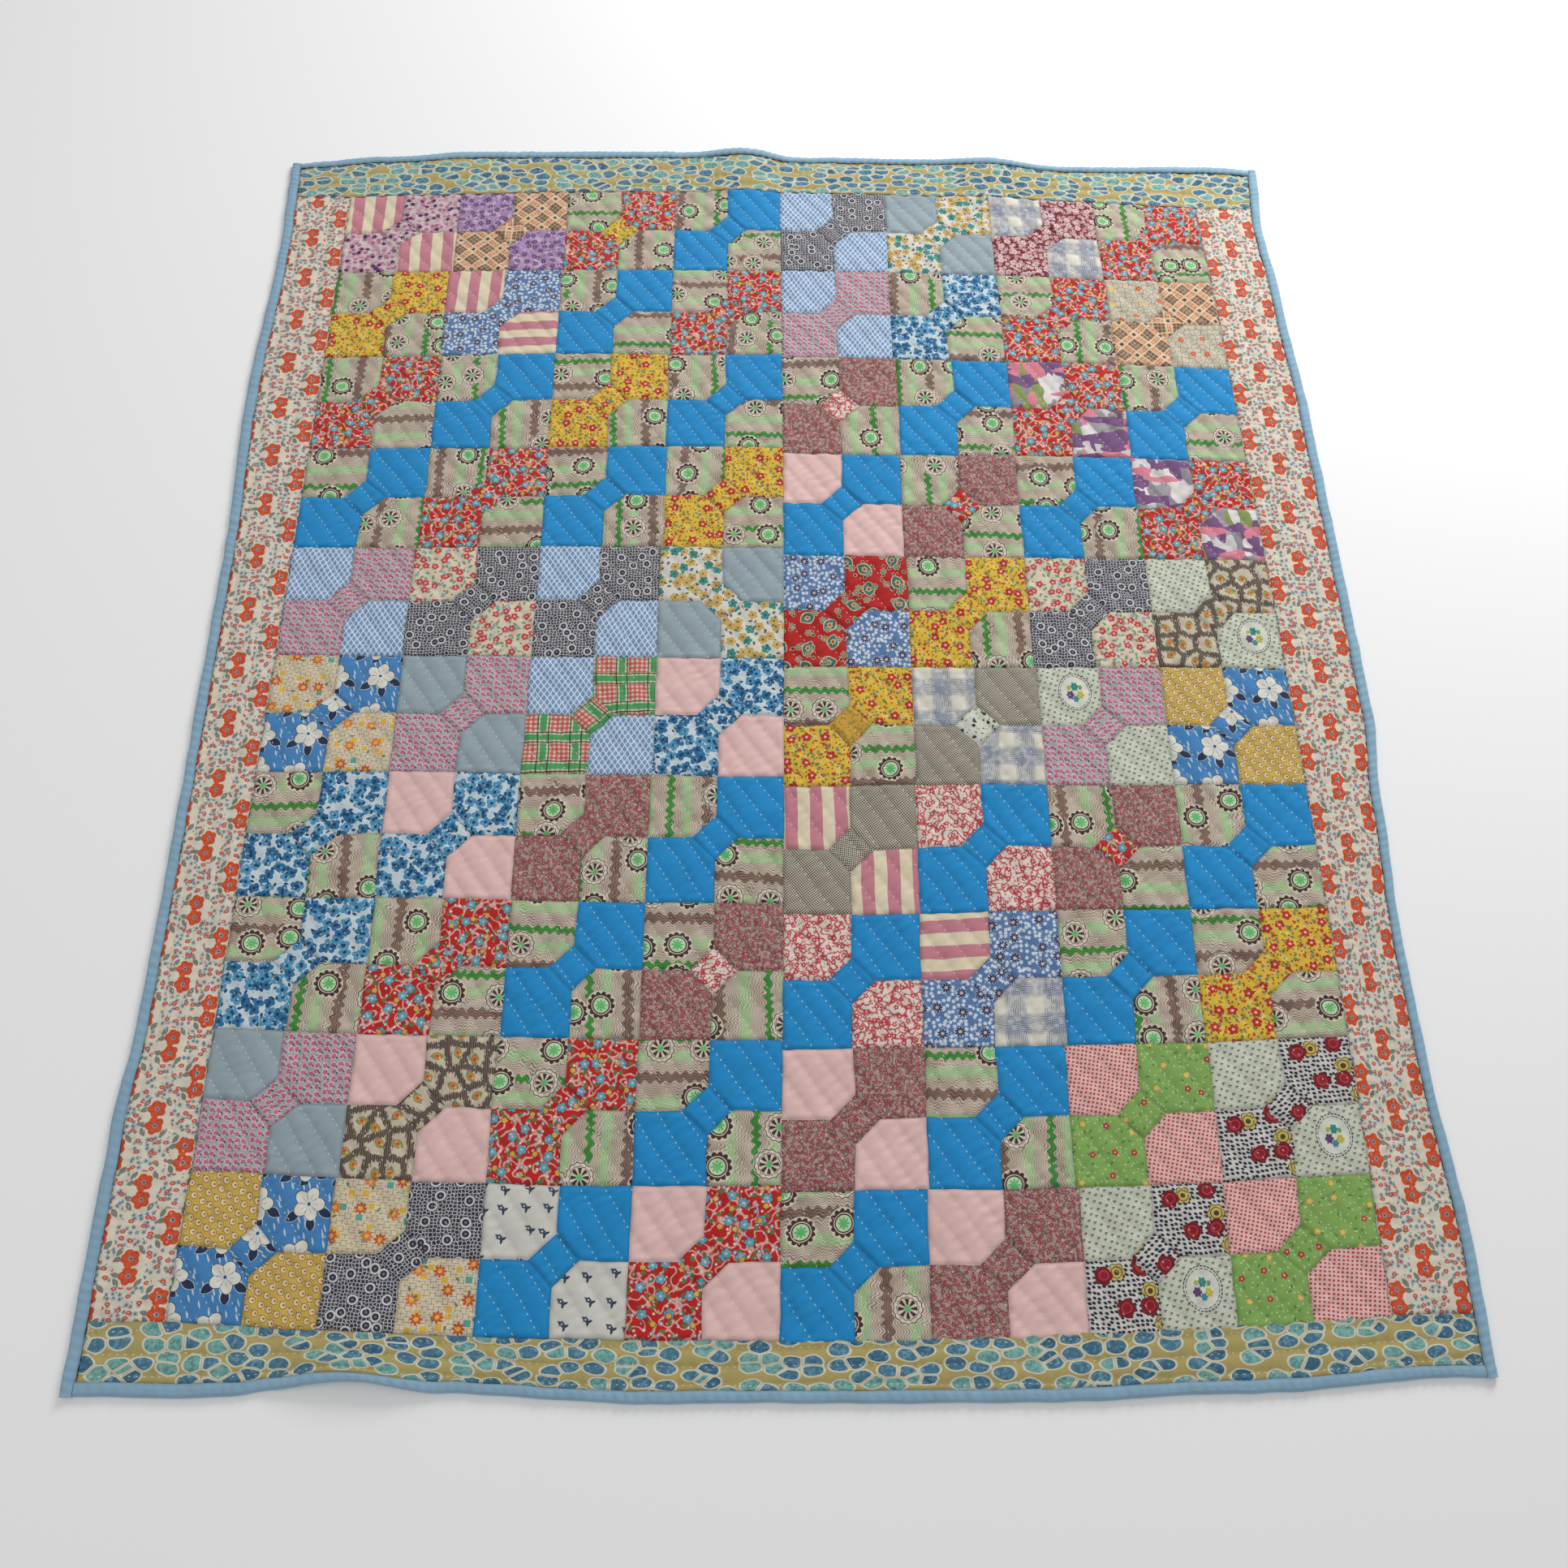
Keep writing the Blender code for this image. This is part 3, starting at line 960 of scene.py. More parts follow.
@dataclass(frozen=True)
class PoppyBorder(Cotton):
    """Cream cotton printed with pairs of orange-red poppies over a fine flowery ground."""

    across_pitch: float = 88.0
    along_pitch: float = 96.0

    def draw(self, pen: Pen) -> None:
        """Print the fine ground, then the two staggered sets of poppies."""
        super().draw(pen)
        x, y = pen.across()
        for start_x, start_y in ((12.0, 20.0), (56.0, 68.0)):
            du = (x - start_x).calc("WRAP", self.across_pitch / 2, -self.across_pitch / 2)
            dv = (y - start_y).calc("WRAP", self.along_pitch / 2, -self.along_pitch / 2)
            self._pair(pen, du, dv)

    def _pair(self, pen: Pen, du: Shade, dv: Shade) -> None:
        """Print a clear patch of ground, leaves, and two poppies one above the other."""
        wobble = (pen.mottle(9.0, 2.0) - 0.5) * 12
        clear = (abs(du) + wobble).below(20.0) * abs(dv).below(25.0, 1.0)
        pen.paint(clear, "#DDD3C0")
        mirrored = abs(dv) - 11.0
        vector = add_node(pen.tree, "CombineXYZ", {0: du.socket, 1: mirrored.socket})
        spot = Spot(vector, vector)
        for at, turn in (((15.0, -1.0), 0.3), ((13.5, 8.5), 1.0), ((-13.5, 9.5), 2.2)):
            leaf = spot.moved(at).turned(turn).squeezed(2.0)
            shape = abs(leaf.y) + (leaf.x * leaf.x) * 0.3
            pen.paint((shape + wobble * 0.12).below(3.4), "#7F8478")
        lobes = spot.lobes(5)
        outline = spot.radius - lobes.calc("MULTIPLY_ADD", 2.9, 9.4) + wobble * 0.1
        pen.paint(outline.below(0), "#D4552F")
        pen.paint(abs(outline + 2.6).below(0.5) * pen.mottle(4.0, 7.0).above(0.5, 0.2), "#A53B22")
        pen.paint(lobes.below(0.14, 0.1) * outline.below(-0.5) * 0.7, "#A23A24")
        pen.paint(spot.radius.below(3.1), "#8F95A6")
        pen.paint(spot.radius.below(1.3), "#4E3B40")


FLOWER, DISC, RING, LEAF, SQUARE = Shape.FLOWER, Shape.DISC, Shape.RING, Shape.LEAF, Shape.SQUARE
VINES, CLOUDS, NET, STRIPES, DASHES = Shape.VINES, Shape.CLOUDS, Shape.NET, Shape.STRIPES, Shape.DASHES

MINT_SPRIGS = (
    Layer(LEAF, "#8C947F", 8.6, 1.6, stretch=1.5, wander=0.2, turn=40.0, grid_turn=20.0),
    Layer(LEAF, "#4D504C", 8.6, 0.9, stretch=1.7, wander=0.2, turn=-15.0, at=(1.4, 0.9), grid_turn=20.0),
)

COTTONS = {
    "blue": Cotton("solid_cerulean_cotton", "#1C8CCB"),
    "pink": Cotton("solid_pink_cotton", "#E6C0BC"),
    "gold": Cotton(
        "mustard_cotton", "#CDA23F",
        (Layer(CLOUDS, "#B4862F", 7.0, share=0.45), Layer(LEAF, "#8B6D2C", 8.0, 1.2, tumble=True)),
    ),
    "stripe": Cotton(
        "rose_and_cream_striped_cotton", "#E1D4B6",
        (Layer(STRIPES, "#C5808D", 36.0, 18.5, turn=90.0, soft=0.8),),
    ),
    "wavy": WavyPrint("rippled_medallion_cotton", "#CFC4B3"),
    "magenta": Cotton(
        "mauve_blossom_cotton", "#CDBFBE",
        (
            Layer(FLOWER, "#B4688F", 9.5, 4.4, wander=0.9, depth=0.35, second="#C893A8", tumble=True),
            Layer(LEAF, "#8E9B84", 12.0, 1.5, stretch=1.9, tumble=True, seed=2.0, share=0.6),
            Layer(FLOWER, "#4A2756", 19.0, 4.3, wander=0.9, depth=0.4, seed=3.0, tumble=True),
        ),
    ),
    "lavender": Cotton(
        "lavender_star_cotton", "#A988B4",
        (
            Layer(CLOUDS, "#C3ABC6", 12.0, share=0.46),
            Layer(FLOWER, "#5B3A69", 15.0, 5.6, petals=7, depth=0.6, wander=0.8, centre="#B692B8"),
            Layer(LEAF, "#7D5A8B", 11.0, 1.3, stretch=2.2, tumble=True, seed=2.0),
        ),
    ),
    "oplaid": ToneOnTonePlaid("brown_and_orange_plaid_cotton", "#7B5E46"),
    "red": Cotton(
        "red_vine_cotton", "#BE1F1C",
        (
            Layer(VINES, "#DDB5A8", 13.0, 0.85, seed=2.0),
            Layer(LEAF, "#5E7A48", 16.0, 2.4, stretch=1.8, wander=0.9, tumble=True, seed=5.0),
            Layer(FLOWER, "#E4D9CC", 14.0, 1.9, depth=0.45, wander=0.9, seed=6.0, share=0.7, tumble=True),
            Layer(
                FLOWER, "#62A8BC", 24.0, 6.6, wander=0.75, depth=0.34, edge="#7C2A2C", edge_width=0.9,
                centre="#C9CDB8", centre_size=1.7, tumble=True, share=0.85,
            ),
            Layer(FLOWER, "#D9AE4C", 31.0, 3.8, wander=0.9, seed=8.0, edge="#8A241E", tumble=True),
            Layer(FLOWER, "#7E97B4", 22.0, 2.8, wander=0.9, seed=9.0, share=0.7, centre="#E6DACB"),
        ),
    ),
    "yellow": Cotton(
        "yellow_blossom_cotton", "#DDB83A",
        (
            Layer(CLOUDS, "#E3C766", 8.0, share=0.4),
            Layer(LEAF, "#7E9450", 11.0, 2.2, stretch=1.7, wander=0.9, tumble=True, share=0.7),
            Layer(LEAF, "#9C2F22", 7.5, 1.05, stretch=2.0, wander=0.9, tumble=True, seed=3.0),
            Layer(DISC, "#5F87A8", 19.0, 1.7, wander=0.9, seed=4.0, share=0.6),
            Layer(
                FLOWER, "#C02B24", 26.0, 6.6, wander=0.75, depth=0.36, seed=5.0, tumble=True,
                edge="#8E2A22", edge_width=0.7, centre="#E5C7B4", centre_size=1.9, share=0.85,
            ),
            Layer(FLOWER, "#C6402B", 17.0, 3.0, wander=0.9, depth=0.4, seed=7.0, tumble=True, share=0.6),
        ),
    ),
    "trellis": Trellis("blue_trellis_cotton", "#8FAED0"),
    "rings": Cotton(
        "navy_ring_cotton", "#33323F",
        (
            Layer(NET, "#C9C8CC", 4.6, 0.85, wander=0.55),
            Layer(DISC, "#33323F", 23.0, 7.6, wander=0.75),
            Layer(RING, "#D3D2D4", 23.0, 5.6, depth=1.1, wander=0.75),
            Layer(DISC, "#7C7B84", 23.0, 1.5, wander=0.75),
        ),
    ),
    "grey": Cotton(
        "grey_dash_cotton", "#94A6AE",
        (
            Layer(DASHES, "#C0C9CC", 2.6, 0.9, stretch=5.0, share=0.6),
            Layer(DASHES, "#6E818B", 2.6, 0.6, stretch=5.0, share=0.5, turn=180.0),
        ),
    ),
    "teal": Cotton(
        "teal_and_gold_bloom_cotton", "#D6D3C6",
        (
            Layer(LEAF, "#6E6173", 14.0, 2.2, stretch=1.7, wander=0.9, tumble=True, seed=3.0),
            Layer(
                FLOWER, "#3F8D84", 17.0, 8.0, wander=0.8, depth=0.3, second="#CBA65A",
                edge="#ECE7DA", edge_width=0.9, centre="#2D5F60", centre_size=1.6, tumble=True,
            ),
            Layer(LEAF, "#2E6E6C", 15.0, 1.6, stretch=2.0, wander=0.9, tumble=True, seed=6.0, share=0.6),
        ),
    ),
    "cross": PenPlaid("slate_pen_plaid_cotton", "#DDD8C8"),
    "burgundy": Cotton(
        "burgundy_blossom_cotton", "#7A2631",
        (
            Layer(FLOWER, "#CDA3A6", 9.0, 3.9, wander=0.85, depth=0.4, second="#DCC6C2", tumble=True),
            Layer(DISC, "#A25560", 9.0, 1.2, wander=0.85),
            Layer(FLOWER, "#D9BFBC", 21.0, 6.2, wander=0.8, seed=4.0, edge="#7A2631", centre="#8E3A45"),
            Layer(LEAF, "#C4979B", 6.0, 0.8, stretch=2.2, tumble=True, seed=6.0, share=0.6),
        ),
    ),
    "mauve": Cotton(
        "grey_and_rose_petal_cotton", "#A9A4A9",
        (
            Layer(DISC, "#C26C86", 9.6, 2.9, wander=0.35, stretch=1.25, tumble=True, edge="#D5CCD0"),
            Layer(LEAF, "#34293A", 9.6, 0.9, wander=0.35, stretch=2.4, at=(4.3, 1.5), turn=50.0),
            Layer(DISC, "#34293A", 13.0, 0.8, wander=0.8, seed=4.0),
        ),
    ),
    "pansy": Cotton(
        "blue_pansy_cotton", "#C7D4D9",
        (
            Layer(FLOWER, "#2A6F9F", 15.0, 8.6, petals=4, wander=0.9, depth=0.35, second="#4F94BC",
                  edge="#DFE6E6", edge_width=0.8, centre="#1C3A5C", centre_size=2.3, tumble=True),
            Layer(LEAF, "#1F4367", 12.0, 1.9, stretch=1.9, wander=0.9, tumble=True, seed=3.0, share=0.7),
            Layer(LEAF, "#8FBBCF", 10.0, 1.2, stretch=1.9, wander=0.9, tumble=True, seed=6.0, share=0.6),
        ),
    ),
    "rosette": Cotton(
        "cream_cell_cotton", "#C9C1AC",
        (
            Layer(NET, "#857C6B", 10.5, 1.0, wander=0.7),
            Layer(DISC, "#847A68", 10.5, 0.8, wander=0.7),
            Layer(FLOWER, "#D4582F", 34.0, 6.0, petals=8, depth=0.5, wander=0.7, second="#D9BC55",
                  seed=3.0, centre="#D9BC55"),
        ),
    ),
    "geometric": Facets("plum_and_grey_facet_cotton", "#A29AA0"),
    "taupe": Cotton(
        "rose_ringlet_cotton", "#A79489",
        (
            Layer(VINES, "#6F4B4B", 8.5, 0.6, seed=2.0),
            Layer(RING, "#A23C48", 7.6, 1.9, depth=0.7, wander=0.85),
            Layer(LEAF, "#97404B", 7.0, 1.1, stretch=2.0, wander=0.9, tumble=True, seed=5.0, share=0.8),
        ),
    ),
    "redwhite": Cotton(
        "white_and_red_sprig_cotton", "#E2D6CB",
        (
            Layer(VINES, "#BC3B45", 10.0, 0.9, seed=2.0),
            Layer(FLOWER, "#B9323D", 14.0, 3.9, wander=0.85, depth=0.4, centre="#E2D6CB", tumble=True),
            Layer(DISC, "#C2505A", 7.0, 0.9, wander=0.9, seed=4.0),
            Layer(LEAF, "#C04751", 9.5, 1.0, stretch=2.2, wander=0.9, tumble=True, seed=7.0),
        ),
    ),
    "rose": Cotton(
        "cream_rose_cotton", "#D9CDB5",
        (
            Layer(LEAF, "#7C9E79", 10.5, 2.2, stretch=1.9, wander=0.9, tumble=True, seed=3.0),
            Layer(FLOWER, "#8FB0BC", 20.0, 3.4, wander=0.9, seed=4.0, share=0.7),
            Layer(FLOWER, "#BC3A3E", 18.0, 5.4, wander=0.85, depth=0.3, tumble=True, edge="#D79A8F",
                  edge_width=0.9, centre="#E0A69C", centre_size=1.9),
            Layer(DISC, "#C9655B", 13.0, 1.6, wander=0.9, seed=7.0, share=0.7),
        ),
    ),
    "daisy": Cotton(
        "blue_daisy_cotton", "#5A7CAC",
        (
            Layer(FLOWER, "#D3DCE2", 6.8, 2.9, wander=0.8, depth=0.45, tumble=True, share=0.85),
            Layer(FLOWER, "#2A3A63", 27.0, 7.4, petals=9, depth=0.5, wander=0.7, seed=4.0,
                  edge="#B9C6D4", centre="#DBB8AC", centre_size=2.3),
        ),
    ),
    "paisley": Cotton(
        "turkey_red_paisley_cotton", "#B51D1B",
        (
            Layer(DISC, "#41322C", 15.0, 2.2, wander=0.9, seed=3.0, edge="#CBB48E", share=0.6),
            Layer(LEAF, "#3F6B67", 38.0, 8.2, stretch=1.5, wander=0.6, tumble=True, edge="#D6C49C",
                  edge_width=1.8),
            Layer(FLOWER, "#C8B478", 38.0, 5.0, petals=6, depth=0.4, wander=0.6, tumble=True,
                  centre="#8C2A22", centre_size=2.0),
            Layer(FLOWER, "#4E7E7A", 24.0, 4.6, petals=6, depth=0.45, wander=0.8, tumble=True, seed=6.0,
                  edge="#D6C49C", edge_width=0.9, centre="#C8A24C", centre_size=1.7),
        ),
    ),
    "mint": Cotton("mint_sprig_cotton", "#CBCFBD", MINT_SPRIGS),
    "mintoval": Bouquet("mint_bouquet_cotton", "#CBCFBD", MINT_SPRIGS),
    "ikat": Ikat("brown_ikat_cotton", "#C9BEA7"),
    "squares": Cotton(
        "basket_and_square_cotton", "#D8CCB0",
        (
            Layer(DASHES, "#97795A", 3.4, 0.7, stretch=17.0, share=0.55, turn=90.0),
            Layer(DASHES, "#97795A", 3.4, 0.7, stretch=17.0, share=0.4),
            Layer(SQUARE, "#5FA392", 29.0, 4.4, wander=0.6, second="#DFB34A", edge="#E6DCC4"),
            Layer(SQUARE, "#D9B24B", 41.0, 4.0, wander=0.7, seed=4.0, edge="#E6DCC4"),
            Layer(FLOWER, "#D8763A", 36.0, 8.2, petals=8, depth=0.45, wander=0.6, seed=6.0,
                  centre="#E0B544", centre_size=3.0, second="#C9542F"),
            Layer(LEAF, "#6B7A4C", 33.0, 1.6, stretch=2.2, wander=0.9, seed=7.0, tumble=True),
        ),
    ),
    "hibiscus": Hibiscus("blue_hibiscus_cotton", "#4583BC"),
    "rgplaid": Tartan("red_and_green_tartan_cotton", "#DCCDB8"),
    "check": Gingham("black_and_cream_check_cotton", "#CDC5B2"),
    "squiggle": Cotton(
        "black_squiggle_cotton", "#25251F",
        (Layer(VINES, "#D3D6C6", 9.0, 1.7), Layer(VINES, "#D3D6C6", 8.0, 1.3, seed=5.0)),
    ),
    "foulard": Cotton(
        "gold_rosebud_cotton", "#D0AC50",
        (
            Layer(DISC, "#E0CF9E", 12.4, 3.6, wander=0.12, grid_turn=28.0, stretch=1.15, turn=40.0,
                  edge="#7B5F33", edge_width=0.8),
            Layer(DISC, "#B4463B", 12.4, 1.4, wander=0.12, grid_turn=28.0, at=(0.8, 0.6)),
            Layer(LEAF, "#8C7638", 12.4, 0.9, wander=0.12, grid_turn=28.0, at=(-5.2, 2.0), stretch=1.9),
        ),
    ),
    "pinkdot": Cotton(
        "pink_pin_dot_cotton", "#E6BAB2",
        (Layer(DISC, "#AD3442", 5.6, 1.55, wander=0.12, grid_turn=12.0, soft=0.7),),
    ),
    "green": Cotton(
        "green_posy_cotton", "#84AC59",
        (
            Layer(DISC, "#CDD8B4", 10.5, 0.95, wander=0.85, seed=2.0),
            Layer(LEAF, "#5E8A44", 17.0, 1.5, stretch=2.0, wander=0.9, seed=3.0, tumble=True),
            Layer(FLOWER, "#B8303A", 32.0, 4.3, wander=0.7, depth=0.35, second="#DDBF55", seed=4.0,
                  edge="#8A8E46", edge_width=0.7, centre="#E0C9A8"),
        ),
    ),
    "dash": Cotton(
        "navy_leaf_and_rose_cotton", "#CFCBC4",
        (
            Layer(LEAF, "#20263F", 6.4, 1.9, wander=0.45, stretch=1.55, turn=30.0),
            Layer(FLOWER, "#C9B25A", 57.0, 11.5, petals=6, depth=0.25, wander=0.6, seed=4.0,
                  edge="#2B2A26", edge_width=1.2, centre="#4A3F2B", centre_size=3.6),
            Layer(RING, "#3A3428", 57.0, 7.4, depth=0.6, wander=0.6, seed=4.0),
            Layer(FLOWER, "#8E1A26", 52.0, 12.0, petals=5, depth=0.2, wander=0.6, seed=7.0,
                  edge="#2B1A1C", edge_width=0.8),
            Layer(RING, "#B53A44", 52.0, 6.0, depth=0.9, wander=0.6, seed=7.0, at=(0.8, 0.8)),
            Layer(RING, "#5C0F1A", 52.0, 8.6, depth=0.6, wander=0.6, seed=7.0),
        ),
    ),
    "sprigs": Cotton(
        "navy_sprig_cotton", "#D2D1C8",
        (
            Layer(LEAF, "#5E7188", 30.0, 2.6, stretch=2.6, wander=0.5, turn=35.0),
            Layer(LEAF, "#2F3D55", 30.0, 1.7, stretch=2.4, wander=0.5, at=(5.0, 3.6), turn=100.0),
            Layer(LEAF, "#2F3D55", 30.0, 1.7, stretch=2.4, wander=0.5, at=(4.0, -4.4), turn=-25.0),
            Layer(FLOWER, "#2F3D55", 30.0, 3.9, wander=0.5, depth=0.4, centre="#D2D1C8"),
        ),
    ),
    "poppy": PoppyBorder(
        "poppy_border_cotton", "#DDD3C0",
        (
            Layer(FLOWER, "#93A6AB", 8.2, 3.3, wander=0.8, depth=0.35, share=0.8,
                  centre="#5C4C63", centre_size=1.0),
            Layer(LEAF, "#89A096", 9.5, 1.0, stretch=1.8, wander=0.9, tumble=True, seed=3.0, share=0.6),
            Layer(DISC, "#C9523C", 12.6, 2.7, wander=0.8, stretch=1.35, seed=5.0, share=0.85,
                  centre="#B9B3B0", centre_size=1.0),
        ),
    ),
    "stone": StoneBorder("pebble_border_cotton", "#B3A367"),
    "binding": Cotton("plain_light_blue_cotton", "#8DB0C6"),
    "back": Cotton("plain_pale_rose_cotton", "#D9C3BB"),
}

# Two grounds, two tie squares and a knot to each block: "grounds marks/tie.knot". The marks give the way that
# the print runs in the upper left and lower right square: - across, | along.
CHART = (
    "stripe ||/magenta; lavender/oplaid; wavy -|/red.yellow; wavy |-/blue; trellis/rings; grey/teal;"
    " cross -|/burgundy; wavy |-/red",
    "wavy ||/yellow; stripe |-/daisy; wavy |-/blue; wavy -|/red; trellis/mauve; wavy |-/pansy;"
    " wavy -|/red; rosette/oplaid",
    "wavy |-/red; wavy ||/blue; wavy -|/yellow; wavy |-/blue; wavy -|/taupe.redwhite; wavy |-/blue;"
    " geometric/red; wavy |-/blue",
    "wavy -|/blue; wavy |-/red; wavy -|/blue; wavy |-/yellow; pink/blue; wavy |-/taupe.red;"
    " wavy -|/blue; geometric/red",
    "trellis/mauve; rose/rings; trellis/rings; teal/grey.teal; daisy/paisley; wavy -|/yellow; rose/rings;"
    " mint,mintoval/ikat",
    "squares/hibiscus; grey/mauve; trellis/rgplaid; pink/pansy; wavy --/yellow.gold;"
    " cross/check.squiggle; mintoval,mint/mauve; foulard/hibiscus",
    "wavy -|/pansy; pink/pansy; wavy -|/taupe; wavy |-/blue; stripe ||/check; redwhite/blue;"
    " wavy |-/taupe.red; wavy |-/blue",
    "wavy -|/pansy; wavy |-/red; wavy -|/blue; wavy -|/taupe.redwhite; redwhite/blue;"
    " stripe,cross --/daisy; wavy -|/blue; wavy --/yellow",
    "grey/mauve; pink/ikat; wavy -|/red; wavy -|/blue; pink/taupe; wavy -|/blue; pinkdot/green;"
    " mint,mintoval/dash",
    "foulard/hibiscus; squares/rings; sprigs/blue; pink/red; wavy -|/blue; pink/taupe;"
    " mint,mintoval/dash; pinkdot/green",
)

CENTRED_PRINTS = ("mintoval", "hibiscus", "dash")


class Wardrobe:
    """The quilt's cottons, each made once when it is first cut."""

    def __init__(self) -> None:
        """Start with nothing cut."""
        self.made: dict[str, bpy.types.Material] = {}

    def get(self, name: str) -> bpy.types.Material:
        """Hand over a cotton by its short name."""
        if name not in self.made:
            self.made[name] = COTTONS[name].material()
        return self.made[name]


# ---------------------------------------------------------------------------------------------------------
# The pieces
# ---------------------------------------------------------------------------------------------------------


def add_piece(name: str, bm: bmesh.types.BMesh, cottons: list[bpy.types.Material]) -> bpy.types.Object:
    """Put a net of cloth into the scene as one named object.

    Args:
        name: the piece's name.
        bm: its mesh, which is freed.
        cottons: its materials, in slot order.

    Returns:
        The object, at the origin.
    """
    mesh = bpy.data.meshes.new(name)
    bm.to_mesh(mesh)
    bm.free()
    for cotton in cottons:
        mesh.materials.append(cotton)
    made = bpy.data.objects.new(name, mesh)
    bpy.context.collection.objects.link(made)
    return made


def grid(columns: int, rows: int) -> bmesh.types.BMesh:
    """A flat net of square cells, from -1 to 1 both ways."""
    bm = bmesh.new()
    bmesh.ops.create_grid(bm, x_segments=columns, y_segments=rows, size=1.0)
    return bm


@dataclass
class Cloth:
    """One piece's mesh, seen as arrays of its points and corners."""

    made: bpy.types.Object
    net: np.ndarray = field(init=False)
    corners: np.ndarray = field(init=False)

    def __post_init__(self) -> None:
        """Read the flat net's points, and which point each face corner uses."""
        mesh = self.made.data
        flat = np.empty(len(mesh.vertices) * 3)
        mesh.vertices.foreach_get("co", flat)
        self.net = flat.reshape(-1, 3)[:, :2].copy()
        self.corners = np.empty(len(mesh.loops), dtype=np.int32)
        mesh.loops.foreach_get("vertex_index", self.corners)

    def place(self, x: np.ndarray, y: np.ndarray, z: np.ndarray) -> None:
        """Move the points to their places, and shade the cloth smooth."""
        mesh = self.made.data
        mesh.vertices.foreach_set("co", np.stack([x, y, z], axis=1).ravel())
        mesh.update()
        mesh.shade_smooth()

    def chart(self, name: str, u: np.ndarray, v: np.ndarray) -> None:
        """Add a UV map with a value for each face corner."""
        layer = self.made.data.uv_layers.new(name=name)
        layer.uv.foreach_set("vector", np.stack([u, v], axis=1).astype(np.float32).ravel())

    def mark(self, name: str, values: np.ndarray) -> None:
        """Add a number for each point."""
        mark = self.made.data.attributes.new(name, "FLOAT", "POINT")
        mark.data.foreach_set("value", values.astype(np.float32))

    def chart_quilting(self, quilting: Quilting, across: np.ndarray, along: np.ndarray) -> None:
        """Measure each place by the quilting's lines, in mm, for the stitches."""
        run, over = quilting.lines(across, along)
        self.chart("quilting", run[self.corners] / MM, over[self.corners] / MM)

    def pack_lanes(self, across: np.ndarray, along: np.ndarray, lanes: int, margin: float) -> None:
        """Fold a long strip into lanes, so that a square map holds it finely.

        Args:
            across: each point's place across the strip, from 0 to 1.
            along: its place along the strip, from 0 to 1.
            lanes: how many lanes the map has.
            margin: the empty share at each side of a lane.
        """
        u, v = across[self.corners], along[self.corners]
        middle = v.reshape(-1, 4).mean(axis=1)
        lane = np.repeat(np.minimum((middle * lanes).astype(int), lanes - 1), 4)
        self.chart("OFBake", (lane + margin + (1 - 2 * margin) * u) / lanes, 0.01 + 0.98 * (v * lanes - lane))

    def declare(self, flat: tuple[float, float], nodes: list[str], slot: str) -> None:
        """Attach the sheet to the root body, hide the CAD nodes that it stands for, and log its faces and
        materials.

        Args:
            flat: width and length that it was cut to, in metres; not used.
            nodes: the CAD nodes that it stands for.
            slot: the record's material slot; not used.
        """
        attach(self.made, "root")
        if nodes:
            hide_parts(*nodes)
        mesh = self.made.data
        log.info("%s: %d faces, %d materials", self.made.name, len(mesh.polygons), len(mesh.materials))


@dataclass
class Block:
    """The bow-tie block's net, shared by all eighty: four squares with their inner corners cut by a knot."""

    cells: int = 64
    knot_cells: int = 11

    @property
    def knot(self) -> float:
        """The knot's reach from the block's centre, as a share of half a block."""
        return self.knot_cells / (self.cells / 2)

    def mesh(self) -> bpy.types.Mesh:
        """Build the net, with cells split along the knot's four seams."""
        bm = grid(self.cells, self.cells)
        on_seam = [v for v in bm.verts if abs(abs(v.co.x) + abs(v.co.y) - self.knot) < 1e-4]
        bmesh.ops.connect_verts(bm, verts=on_seam)
        mesh = bpy.data.meshes.new("bow_tie_net")
        bm.to_mesh(mesh)
        bm.free()
        return mesh

    def seam_distance(self, p: np.ndarray, q: np.ndarray) -> np.ndarray:
        """Distance from the nearest seam, as a share of half a block."""
        a, b = np.abs(p), np.abs(q)
        outer = np.minimum(1 - a, 1 - b)
        knot = np.abs(a + b - self.knot) / math.sqrt(2)
        straight = np.where(a + b >= self.knot - 1e-4, np.minimum(a, b), 1.0)
        return np.minimum(np.minimum(outer, knot), straight)


